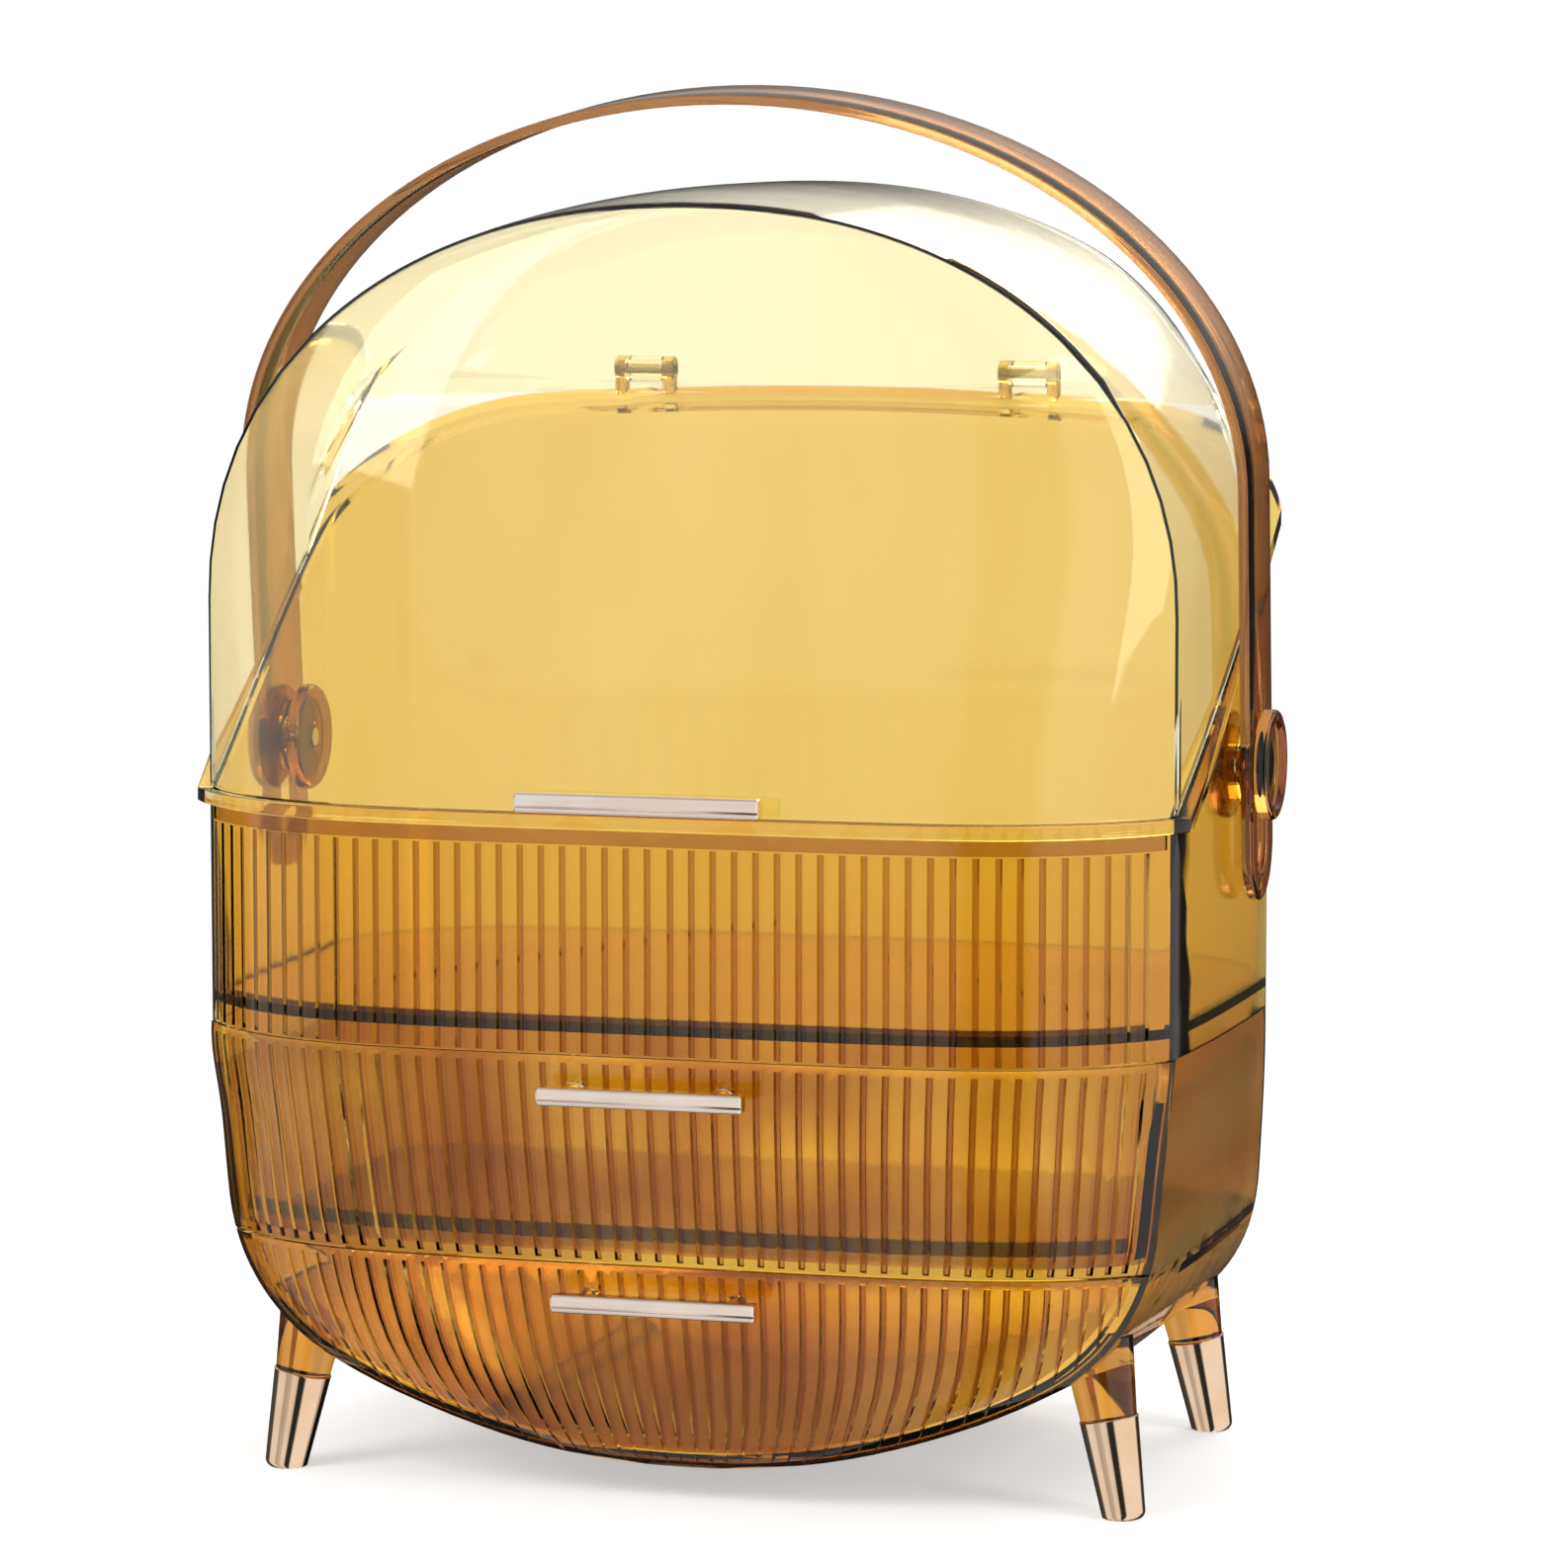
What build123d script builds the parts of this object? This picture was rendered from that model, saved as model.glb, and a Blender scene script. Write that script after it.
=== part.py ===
from build123d import *
import os
from math import atan2, cos, radians, sin, sqrt, tan

os.makedirs("parts", exist_ok=True)

# Sizes are in millimetres. X runs to the right, Y to the back, Z up from the floor.
# The mouth is the upright plane at the front edge of the case; the fronts bow ahead of it.

# Front outline of the body
mouth_y = -62.606
body_half = 145.0
case_low_z = 9.7
bottom_radius = 230.0
corner_radius = 60.0
side_lean = 5.5
upper_seam_z = 135.8
lower_seam_z = 73.8
arch_base_z = 260.0
arch_height = 116.0
arch_power = 2.15
arch_points = 16

# Plan of the body and the bow of the fronts
swell = 4.7
swell_length = 120.0
rear_reach = 165.8
rear_crown_radius = 900.0
rear_corner_radius = 62.0
front_bow = 36.0
bow_power = 5.6
low_bow_powers = (1.4, 1.3)
top_bow_powers = (1.3, 1.2)
bow_rows = 9
bow_trim = 0.6
bow_root = 1.0

# Walls and gaps
shell_wall = 2.6
tray_wall = 2.0
front_rim = 4.0
floor_thickness = 3.0
seam_gap = 0.4
slide_gap = 0.4
rim_gap = 0.3
running_gap = 0.08

# Rim of the tub
rim_front_z = 204.8
rim_slope = 33.4
flange_reach = 4.0
flange_height = 4.2
tub_skirt = 6.0

# Drawers, their shelf and rails
tray_depth = 147.0
upper_tray_height = 50.0
lower_tray_top_z = 57.0
shelf_thickness = 2.5
shelf_ledge = 4.0
ledge_height = 3.0
rail_width = 6.0
rail_x = 60.0

# Pulls
pull_height = 5.4
pull_depth = 5.0
pull_length = 60.6
pull_drop = 10.6
pull_stand = 6.0
cover_pull_length = 71.5
cover_pull_height = 6.0
cover_ledge_half = 30.0
cover_ledge_reach = 9.0
cover_ledge_thickness = 2.4
cover_ledge_rise = 3.8
pull_groove = 2.0
post_radius = 2.6
post_x = 22.0
screw_radius = 1.3
screw_length = 8.0
screw_head_radius = 2.8
screw_head_height = 1.6
spot_depth = 1.0

# Handle and its pivots
pivot_back = 75.3
pivot_z = 212.2
handle_lean = 5.0
strap_width = 33.0
strap_thickness = 3.0
strap_gap = 1.3
strap_straight = 82.3
strap_rise = 114.6
tab_drop = 40.2
slot_width = 13.6
slot_drop = 32.2
hub_gap = 0.3
collar_radius = 11.0
spindle_radius = 4.0
boss_radius = 12.0
boss_inset = 3.0
outer_cap_radius = 16.2
outer_cap_thickness = 4.5
outer_cap_dish = 1.6
inner_cap_radius = 16.0
inner_cap_thickness = 4.2
cap_chamfer = 1.2
cap_rim = 2.2
pivot_screw_reach = 8.0
handle_gap = 0.6

# Cover hinge
hinge_x = 62.0
hinge_rise = 7.0
hinge_back = 3.2
pin_radius = 1.6
knuckle_radius = 4.0
knuckle_width = 12.0
ear_width = 3.0
ear_inset = 2.0

# Legs
foot_x = 128.3
foot_y = 62.4
splay_x = 5.3
splay_y = 1.8
tip_height = 29.6
tip_top_radius = 8.8
tip_low_radius = 6.2
tip_end_radius = 4.6
leg_neck_radius = 8.2
leg_top_radius = 13.0
leg_length = 45.0
spigot_radius = 5.5
spigot_length = 16.0
foot_flat = 0.9

# Places that follow from the sizes
pivot_y = mouth_y + pivot_back
rear_y = mouth_y + rear_reach
arch_top_z = arch_base_z + arch_height
tub_floor_z = upper_seam_z + tub_skirt
rim_rear_z = rim_front_z + rear_reach * tan(radians(rim_slope))
hinge_y = rear_y + hinge_back
hinge_z = rim_rear_z + hinge_rise
tray_gap = shell_wall + slide_gap
strap_inner_x = body_half + swell + strap_gap
strap_outer_half = strap_inner_x + strap_thickness
far = 400.0


def corner_centre():
    """Centre of the rounded lower corner of the front outline, touching side and bottom."""
    down = Vector(-sin(radians(side_lean)), -cos(radians(side_lean)))
    inward = Vector(-cos(radians(side_lean)), sin(radians(side_lean)))
    bottom = Vector(0, case_low_z + bottom_radius)
    start = Vector(body_half, upper_seam_z) + inward * corner_radius - bottom
    reach = bottom_radius - corner_radius
    along = start.dot(down)
    run = sqrt(along ** 2 - start.dot(start) + reach ** 2) - along
    return bottom + start + down * run


def low_points(grow):
    """Ends and middle of the right lower corner, and the seam's end, for an outline grown by grow."""
    centre = corner_centre()
    bottom = Vector(0, case_low_z + bottom_radius)
    outward = Vector(cos(radians(side_lean)), -sin(radians(side_lean)))
    toward = (centre - bottom).normalized()
    low = bottom + toward * (bottom_radius + grow)
    middle = centre + (toward + outward).normalized() * (corner_radius + grow)
    top = centre + outward * (corner_radius + grow)
    seam = Vector(body_half + grow, upper_seam_z - grow * tan(radians(side_lean / 2)))
    return low, middle, top, seam


def front_half(z, grow):
    """Half width of the front outline at height z, for an outline grown by grow."""
    low, middle, top, seam = low_points(grow)
    centre = corner_centre()
    if z >= arch_base_z:
        rise = min((z - arch_base_z) / (arch_height + grow), 1)
        return (body_half + grow) * (1 - rise ** arch_power) ** (1 / arch_power)
    if z >= seam.Y:
        return body_half + grow
    if z >= top.Y:
        return seam.X - (seam.Y - z) * tan(radians(side_lean))
    if z >= low.Y:
        return centre.X + sqrt((corner_radius + grow) ** 2 - (centre.Y - z) ** 2)
    return sqrt((bottom_radius + grow) ** 2 - (case_low_z + bottom_radius - z) ** 2)


def outline(y, grow):
    """The body's outline seen from the front, in the upright plane at y, grown by grow."""
    low, middle, top, seam = low_points(grow)
    half = body_half + grow
    arch = []
    for step in range(arch_points + 1):
        turn = radians(180 * step / arch_points)
        across = abs(cos(turn)) ** (2 / arch_power)
        rise = (arch_height + grow) * abs(sin(turn)) ** (2 / arch_power)
        arch.append((half * across if cos(turn) > 0 else -half * across, arch_base_z + rise))
    with BuildSketch(Plane(origin=(0, y, 0), x_dir=(1, 0, 0), z_dir=(0, -1, 0))) as face:
        with BuildLine():
            ThreePointArc((-low.X, low.Y), (0, case_low_z - grow), (low.X, low.Y))
            ThreePointArc((low.X, low.Y), (middle.X, middle.Y), (top.X, top.Y))
            Line((top.X, top.Y), (seam.X, seam.Y))
            Line((seam.X, seam.Y), (half, arch_base_z))
            Spline(*arch)
            Line((-half, arch_base_z), (-seam.X, seam.Y))
            Line((-seam.X, seam.Y), (-top.X, top.Y))
            ThreePointArc((-top.X, top.Y), (-middle.X, middle.Y), (-low.X, low.Y))
        make_face()
    return face.sketch


def rear_plan(grow):
    """Plan of the rear: two rounded corners and a slightly crowned back."""
    half = body_half + swell + rim_gap
    corner_x = half - rear_corner_radius
    crown_y = rear_y - rear_crown_radius
    corner_y = crown_y + sqrt((rear_crown_radius - rear_corner_radius) ** 2 - corner_x ** 2)
    radius = rear_corner_radius + grow
    lean = atan2(corner_x, corner_y - crown_y)
    turn = (lean + radians(90)) / 2
    end = (corner_x + radius * sin(lean), corner_y + radius * cos(lean))
    middle = (corner_x + radius * sin(turn), corner_y + radius * cos(turn))
    side = (corner_x + radius, corner_y)
    flare = (side[0] + far / 10, mouth_y - far / 4)
    with BuildSketch(Plane.XY) as plan:
        with BuildLine():
            Line(flare, side)
            ThreePointArc(side, middle, end)
            ThreePointArc(end, (0, rear_y + grow), (-end[0], end[1]))
            ThreePointArc((-end[0], end[1]), (-middle[0], middle[1]), (-side[0], side[1]))
            Line((-side[0], side[1]), (-flare[0], flare[1]))
            Line((-flare[0], flare[1]), flare)
        make_face()
    return plan.sketch


def body_form(grow):
    """The closed body behind the mouth plane, grown outward by grow."""
    places = [(0, 0), (0.5, 0.8), (1, 1), (rear_reach / swell_length + 0.1, 1)]
    sections = [outline(mouth_y + place * swell_length, grow + share * swell) for place, share in places]
    plan = rear_plan(grow)
    with BuildPart() as form:
        loft(sections=sections)
        extrude(to_extrude=plan, amount=arch_top_z + far / 4, mode=Mode.INTERSECT)
    return form.part


def prism_form(grow, depth):
    """A straight run of the mouth's outline, from well ahead of the mouth to depth behind it."""
    face = outline(mouth_y + depth, grow)
    plan = rear_plan(grow)
    with BuildPart() as form:
        extrude(to_extrude=face, amount=depth + front_bow + pull_stand)
        extrude(to_extrude=plan, amount=arch_top_z + far / 4, mode=Mode.INTERSECT)
    return form.part


def low_depth(z, grow):
    """How far the drawer fronts stand ahead of the mouth at height z on the centre line."""
    share = min(max((upper_seam_z - z) / (upper_seam_z - case_low_z + grow), 0), 1)
    return (front_bow + grow) * (1 - share ** low_bow_powers[0]) ** (1 / low_bow_powers[1])


def top_depth(z, grow):
    """How far the cover's front stands ahead of the mouth at height z on the centre line."""
    share = min(max((z - rim_front_z) / (arch_top_z - rim_front_z + grow), 0), 1)
    return (front_bow + grow) * (1 - share ** top_bow_powers[0]) ** (1 / top_bow_powers[1])


def bow_section(z, half, depth):
    """A level slice of a bowed front: curved ahead of the mouth, straight just behind it."""
    curve = []
    for share in (-1, -0.9, -0.75, -0.5, 0, 0.5, 0.75, 0.9, 1):
        curve.append((share * half, mouth_y - depth * (1 - abs(share) ** bow_power)))
    with BuildSketch(Plane.XY.offset(z)) as slice_face:
        with BuildLine():
            Spline(*curve)
            Polyline((half, mouth_y), (half, mouth_y + bow_root), (-half, mouth_y + bow_root), (-half, mouth_y))
        make_face()
    return slice_face.sketch


def bow_form(grow, start_z, end_z, depth_at):
    """A bowed front that closes from its full width at start_z to the outline's end at end_z."""
    sections = []
    for row in range(bow_rows + 1):
        z = start_z + (end_z - start_z) * sin(radians(90 * row / bow_rows))
        sections.append(bow_section(z, front_half(z, grow) + bow_trim, depth_at(z, grow)))
    with BuildPart() as form:
        loft(sections=sections)
        add(prism_form(grow, bow_root), mode=Mode.INTERSECT)
    return form.part


def low_bow(grow):
    """The bowed front of both drawers."""
    return bow_form(grow, upper_seam_z, case_low_z - grow + seam_gap, low_depth)


def top_bow(grow):
    """The bowed front of the cover."""
    return bow_form(grow, rim_front_z, arch_top_z + grow - seam_gap, top_depth)


def tub_bow(grow):
    """The upright bowed front of the tub."""
    face = bow_section(upper_seam_z, body_half + grow, front_bow + grow)
    with BuildPart() as form:
        extrude(to_extrude=face, amount=rim_front_z - upper_seam_z)
    return form.part


def slab(low_z, high_z):
    """A level block between two heights, wider than the body."""
    with BuildPart() as block:
        with BuildSketch(Plane.XY.offset(low_z)):
            Rectangle(far, 2 * far)
        extrude(amount=high_z - low_z)
    return block.part


def behind(y):
    """Everything behind the upright plane at y."""
    with BuildPart() as block:
        with BuildSketch(Plane(origin=(0, y, 0), x_dir=(1, 0, 0), z_dir=(0, 1, 0))):
            Rectangle(far, 4 * far)
        extrude(amount=far)
    return block.part


def below_rim(drop):
    """Everything under the rim's bent surface, lowered by drop, and above the upper seam."""
    knee_y = mouth_y + drop * tan(radians(rim_slope / 2))
    knee_z = rim_front_z - drop
    end_z = knee_z + (rear_y + far / 10 - knee_y) * tan(radians(rim_slope))
    with BuildPart() as block:
        with BuildSketch(Plane.YZ.offset(-far / 2)):
            with BuildLine():
                Polyline((mouth_y - far / 4, upper_seam_z), (mouth_y - far / 4, knee_z), (knee_y, knee_z),
                         (rear_y + far / 10, end_z), (rear_y + far / 10, upper_seam_z), close=True)
            make_face()
        extrude(amount=far)
    return block.part


def write(piece, label):
    """Label a finished piece and write it."""
    piece.label = label
    export_step(piece, f"parts/{label}.step")


# Forms that several pieces are cut from
body = body_form(0)
cavity = body_form(-shell_wall)
tray_outer = prism_form(-tray_gap, tray_depth)
tray_inner = prism_form(-tray_gap - tray_wall, tray_depth - tray_wall)
mouth_line = prism_form(-shell_wall, rear_reach)
low_front = low_bow(0)
low_hollow = low_bow(-shell_wall)
tub_front = tub_bow(0)
side_limit_x = strap_inner_x - handle_gap

# Case: open at the mouth and the top, with ledges for the shelf and rails under the lower tray
with BuildPart() as shelf_ledges:
    half_inside = front_half(lower_seam_z, -shell_wall)
    ledge_width = 2 * (body_half - half_inside + shelf_ledge)
    with BuildSketch(Plane.XY.offset(lower_seam_z - shelf_thickness)):
        with Locations((body_half, rear_y / 4), (-body_half, rear_y / 4)):
            Rectangle(ledge_width, rear_reach - rear_corner_radius)
    extrude(amount=-ledge_height)
    add(body, mode=Mode.INTERSECT)

with BuildPart() as tray_rails:
    with BuildSketch(Plane.XY):
        with Locations((rail_x, mouth_y + rear_reach / 2), (-rail_x, mouth_y + rear_reach / 2)):
            Rectangle(rail_width, rear_reach - 2 * seam_gap)
    extrude(amount=lower_seam_z / 2)
    add(body, mode=Mode.INTERSECT)
    add(mouth_line, mode=Mode.SUBTRACT)

with BuildPart() as case_shell:
    add(body)
    add(slab(-far, upper_seam_z), mode=Mode.INTERSECT)
    add(cavity, mode=Mode.SUBTRACT)
    add(shelf_ledges.part)
    add(tray_rails.part)
write(case_shell.part, "case_shell")

with BuildPart() as drawer_shelf:
    add(cavity)
    add(slab(lower_seam_z - shelf_thickness, lower_seam_z), mode=Mode.INTERSECT)
    add(behind(mouth_y + seam_gap), mode=Mode.INTERSECT)
write(drawer_shelf.part, "drawer_shelf")

# Tub: bin with a bowed front, a skirt under its floor and a flange along its rim
with BuildPart() as tub_block:
    add(body)
    add(tub_front)
    add(below_rim(0), mode=Mode.INTERSECT)

with BuildPart() as rim_flange:
    add(body_form(flange_reach))
    add(tub_bow(flange_reach))
    add(below_rim(0), mode=Mode.INTERSECT)
    add(below_rim(flange_height), mode=Mode.SUBTRACT)
    for side in (1, -1):
        with BuildSketch(Plane(origin=(side * side_limit_x, 0, 0), z_dir=(side, 0, 0))):
            Rectangle(2 * far, 4 * far)
        extrude(amount=far, mode=Mode.SUBTRACT)

with BuildPart() as tub_floor:
    add(body)
    add(tub_front)
    add(slab(tub_floor_z, tub_floor_z + floor_thickness), mode=Mode.INTERSECT)

boss_low_x = body_half + swell - shell_wall - boss_inset
ear_offset = (knuckle_width + ear_width) / 2 + rim_gap
ear_foot_z = (hinge_z + rim_rear_z) / 2 - flange_height / 4
with BuildPart() as upper_tub:
    add(tub_block.part)
    add(rim_flange.part)
    add(cavity, mode=Mode.SUBTRACT)
    add(tub_bow(-shell_wall), mode=Mode.SUBTRACT)
    add(tub_floor.part)
    for side in (1, -1):
        with BuildSketch(Plane(origin=(side * boss_low_x, pivot_y, pivot_z), z_dir=(side, 0, 0))):
            Circle(boss_radius)
        extrude(amount=shell_wall + boss_inset)
        with BuildSketch(Plane(origin=(side * boss_low_x, pivot_y, pivot_z), z_dir=(side, 0, 0))):
            Circle(spindle_radius + running_gap)
        extrude(amount=shell_wall + boss_inset, mode=Mode.SUBTRACT)
        for end in (1, -1):
            ear_plane = Plane.YZ.offset(side * hinge_x + end * ear_offset)
            with BuildSketch(ear_plane):
                with Locations((hinge_y, hinge_z)):
                    Circle(knuckle_radius)
                with Locations((hinge_y, ear_foot_z)):
                    Rectangle(2 * knuckle_radius - ear_inset, hinge_rise + flange_height / 2)
            extrude(amount=ear_width / 2, both=True)
            with BuildSketch(ear_plane):
                with Locations((hinge_y, hinge_z)):
                    Circle(pin_radius)
            extrude(amount=ear_width, both=True, mode=Mode.SUBTRACT)
write(upper_tub.part, "upper_tub")

# Cover: clear arched shell with a bowed front, a ledge for its pull and two hinge knuckles
ledge_z = rim_front_z + cover_ledge_rise
ledge_face_y = mouth_y - top_depth(ledge_z, 0)
ledge_span = cover_ledge_reach + shell_wall / 2
knuckle_root_y = rear_y - hinge_x ** 2 / (2 * rear_crown_radius) - shell_wall / 2
with BuildPart() as cover:
    add(body)
    add(top_bow(0))
    add(below_rim(-rim_gap), mode=Mode.SUBTRACT)
    add(slab(-far, rim_front_z + rim_gap), mode=Mode.SUBTRACT)
    add(cavity, mode=Mode.SUBTRACT)
    add(top_bow(-shell_wall), mode=Mode.SUBTRACT)
    with BuildSketch(Plane.XY.offset(ledge_z)):
        with Locations((0, ledge_face_y + shell_wall / 2 - ledge_span / 2)):
            Rectangle(2 * cover_ledge_half, ledge_span)
    extrude(amount=cover_ledge_thickness / 2, both=True)
    for side in (1, -1):
        with BuildSketch(Plane.YZ.offset(side * hinge_x)):
            with Locations((hinge_y, hinge_z)):
                Circle(knuckle_radius)
            with Locations(((hinge_y + knuckle_root_y) / 2, hinge_z + knuckle_radius / 2)):
                Rectangle(hinge_y - knuckle_root_y, knuckle_radius)
        extrude(amount=knuckle_width / 2, both=True)
        with BuildSketch(Plane.YZ.offset(side * hinge_x)):
            with Locations((hinge_y, hinge_z)):
                Circle(pin_radius + running_gap)
        extrude(amount=knuckle_width, both=True, mode=Mode.SUBTRACT)
write(cover.part, "cover")

for side, side_name in ((1, "right"), (-1, "left")):
    with BuildPart() as hinge_pin:
        with BuildSketch(Plane.YZ.offset(side * hinge_x)):
            with Locations((hinge_y, hinge_z)):
                Circle(pin_radius)
        extrude(amount=knuckle_width / 2 + rim_gap + ear_width, both=True)
    write(hinge_pin.part, f"hinge_pin_{side_name}")

cover_bar_y = ledge_face_y - cover_ledge_reach + pull_groove
with BuildPart() as cover_pull:
    with BuildSketch(Plane.YZ.offset(-cover_pull_length / 2)):
        with Locations((cover_bar_y - pull_depth / 2, ledge_z)):
            RectangleRounded(pull_depth, cover_pull_height, pull_depth / 3)
    extrude(amount=cover_pull_length)
    add(cover.part, mode=Mode.SUBTRACT)
write(cover_pull.part, "cover_pull")


def front_plane(y):
    """Upright plane at y, facing the front."""
    return Plane(origin=(0, y, 0), x_dir=(1, 0, 0), z_dir=(0, -1, 0))


def ahead_of(y):
    """Everything ahead of the upright plane at y."""
    with BuildPart() as block:
        with BuildSketch(front_plane(y)):
            Rectangle(far, 4 * far)
        extrude(amount=far)
    return block.part


def drawer_moulding(low_z, high_z, floor_z, tray_top_z):
    """One drawer: a bowed front shell with a thick rear rim, run back into an open tray."""
    rim_y = mouth_y - front_rim
    with BuildPart() as tray:
        add(tray_outer)
        add(slab(floor_z, tray_top_z), mode=Mode.INTERSECT)
        add(behind(rim_y), mode=Mode.INTERSECT)
    with BuildPart() as tray_hollow:
        add(tray_inner)
        add(slab(floor_z + floor_thickness, far), mode=Mode.INTERSECT)
        add(behind(rim_y - seam_gap), mode=Mode.INTERSECT)
    with BuildPart() as front_hollow:
        add(low_hollow)
        add(slab(floor_z + floor_thickness, far), mode=Mode.INTERSECT)
        add(ahead_of(rim_y), mode=Mode.INTERSECT)
    with BuildPart() as moulding:
        add(low_front)
        add(slab(low_z, high_z), mode=Mode.INTERSECT)
        add(ahead_of(mouth_y - seam_gap), mode=Mode.INTERSECT)
        add(tray.part)
        add(tray_hollow.part, mode=Mode.SUBTRACT)
        add(front_hollow.part, mode=Mode.SUBTRACT)
    return moulding.part


# Drawers with their pulls: lowest and highest point, tray floor and tray top of each
drawers = {
    "upper": (lower_seam_z + seam_gap, upper_seam_z - seam_gap, lower_seam_z + seam_gap,
              lower_seam_z + upper_tray_height),
    "lower": (-far, lower_seam_z - seam_gap, -far, lower_tray_top_z),
}
for name, (low_z, high_z, floor_z, tray_top_z) in drawers.items():
    pull_z = high_z - pull_drop
    bar_y = mouth_y - low_depth(pull_z, 0) - pull_stand
    posts = [(side * post_x, pull_z) for side in (1, -1)]
    spot_y = mouth_y - low_depth(pull_z, -shell_wall) - spot_depth
    with BuildPart() as box:
        add(drawer_moulding(low_z, high_z, floor_z, tray_top_z))
        with BuildSketch(front_plane(spot_y)):
            with Locations(*posts):
                Circle(screw_radius)
        extrude(amount=pull_stand, mode=Mode.SUBTRACT)
        with BuildSketch(front_plane(spot_y)):
            with Locations(*posts):
                Circle(screw_head_radius + hub_gap)
        extrude(amount=-pull_stand, mode=Mode.SUBTRACT)
    write(box.part, f"{name}_drawer")

    with BuildPart() as pull:
        with BuildSketch(Plane.YZ.offset(-pull_length / 2)):
            with Locations((bar_y - pull_depth / 2, pull_z)):
                RectangleRounded(pull_depth, pull_height, pull_depth / 3)
        extrude(amount=pull_length)
        with BuildSketch(front_plane(bar_y - pull_depth / 2)):
            with Locations(*posts):
                Circle(post_radius)
        extrude(amount=-(pull_stand + pull_depth))
        add(low_front, mode=Mode.SUBTRACT)
        with BuildSketch(front_plane(spot_y)):
            with Locations(*posts):
                Circle(screw_radius)
        extrude(amount=screw_length, mode=Mode.SUBTRACT)
    write(pull.part, f"{name}_pull")

    with BuildPart() as screws:
        with BuildSketch(front_plane(spot_y)):
            with Locations(*posts):
                Circle(screw_radius)
        extrude(amount=screw_length)
        with BuildSketch(front_plane(spot_y)):
            with Locations(*posts):
                Circle(screw_head_radius)
        extrude(amount=-screw_head_height)
    write(screws.part, f"{name}_pull_screws")

# Handle: one strap bent over the cover, with a slot in each end tab
lean = radians(handle_lean)
strap_plane = Plane(origin=(0, pivot_y, pivot_z), x_dir=(1, 0, 0), z_dir=(0, -cos(lean), -sin(lean)))
tab_plane = Plane(origin=(0, pivot_y, pivot_z), x_dir=(0, cos(lean), sin(lean)), z_dir=(1, 0, 0))
with BuildPart() as handle_strap:
    with BuildSketch(strap_plane):
        for inset, mode in ((0, Mode.ADD), (strap_thickness, Mode.SUBTRACT)):
            half = strap_outer_half - inset
            with BuildLine():
                Line((half, -tab_drop), (half, strap_straight))
                EllipticalCenterArc((0, strap_straight), half, strap_rise - inset, arc_size=180)
                Line((-half, strap_straight), (-half, -tab_drop))
                Line((-half, -tab_drop), (half, -tab_drop))
            make_face(mode=mode)
    extrude(amount=strap_width / 2, both=True)
    with BuildSketch(tab_plane):
        with Locations((0, -tab_drop + strap_width / 2)):
            Circle(strap_width / 2)
        with Locations((0, -tab_drop + strap_width / 2 + far / 2)):
            Rectangle(strap_width, far)
    extrude(amount=far, both=True, mode=Mode.INTERSECT)
    with BuildSketch(tab_plane):
        with Locations((0, (slot_width / 2 - slot_drop) / 2)):
            SlotOverall(slot_drop + slot_width / 2, slot_width, rotation=90)
    extrude(amount=far, both=True, mode=Mode.SUBTRACT)
write(handle_strap.part, "handle_strap")


def disc_plane(side, x):
    """Plane across the pivot's axis at x on one side, facing outward."""
    return Plane(origin=(side * x, pivot_y, pivot_z), z_dir=(side, 0, 0))


# Pivots: hub through the slot, caps on both sides of the wall, screw along the axis
boss_high_x = body_half + swell
cap_x = strap_outer_half + hub_gap
inner_cap_x = boss_low_x - hub_gap
hub_radius = slot_width / 2 - hub_gap
screw_tip_x = boss_high_x + pivot_screw_reach / 2
screw_low_x = inner_cap_x - inner_cap_thickness + screw_head_height
hub_steps = ((inner_cap_x, boss_high_x + hub_gap, spindle_radius),
             (boss_high_x + hub_gap, strap_inner_x - hub_gap, collar_radius),
             (strap_inner_x - hub_gap, cap_x, hub_radius))
for side, side_name in ((1, "right"), (-1, "left")):
    with BuildPart() as pivot_hub:
        for low_x, high_x, radius in hub_steps:
            with BuildSketch(disc_plane(side, low_x)):
                Circle(radius)
            extrude(amount=high_x - low_x)
        with BuildSketch(disc_plane(side, inner_cap_x)):
            Circle(screw_radius)
        extrude(amount=screw_tip_x - inner_cap_x, mode=Mode.SUBTRACT)
    write(pivot_hub.part, f"pivot_hub_{side_name}")

    with BuildPart() as outer_cap:
        with BuildSketch(disc_plane(side, cap_x)):
            Circle(outer_cap_radius)
        extrude(amount=outer_cap_thickness)
        chamfer(outer_cap.edges().sort_by(Axis((0, 0, 0), (side, 0, 0)))[-1], cap_chamfer)
        with BuildSketch(disc_plane(side, cap_x + outer_cap_thickness)):
            Circle(outer_cap_radius - cap_chamfer - cap_rim)
        extrude(amount=-outer_cap_dish, taper=45, mode=Mode.SUBTRACT)
    write(outer_cap.part, f"outer_cap_{side_name}")

    with BuildPart() as inner_cap:
        with BuildSketch(disc_plane(side, inner_cap_x)):
            Circle(inner_cap_radius)
        extrude(amount=-inner_cap_thickness)
        with BuildSketch(disc_plane(side, inner_cap_x)):
            Circle(screw_radius)
        extrude(amount=-inner_cap_thickness, mode=Mode.SUBTRACT)
        with BuildSketch(disc_plane(side, screw_low_x)):
            Circle(screw_head_radius + running_gap)
        extrude(amount=-screw_head_height, mode=Mode.SUBTRACT)
    write(inner_cap.part, f"inner_cap_{side_name}")

    with BuildPart() as pivot_screw:
        with BuildSketch(disc_plane(side, screw_low_x)):
            Circle(screw_radius)
        extrude(amount=screw_tip_x - screw_low_x)
        with BuildSketch(disc_plane(side, screw_low_x)):
            Circle(screw_head_radius)
        extrude(amount=-screw_head_height)
    write(pivot_screw.part, f"pivot_screw_{side_name}")

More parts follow.
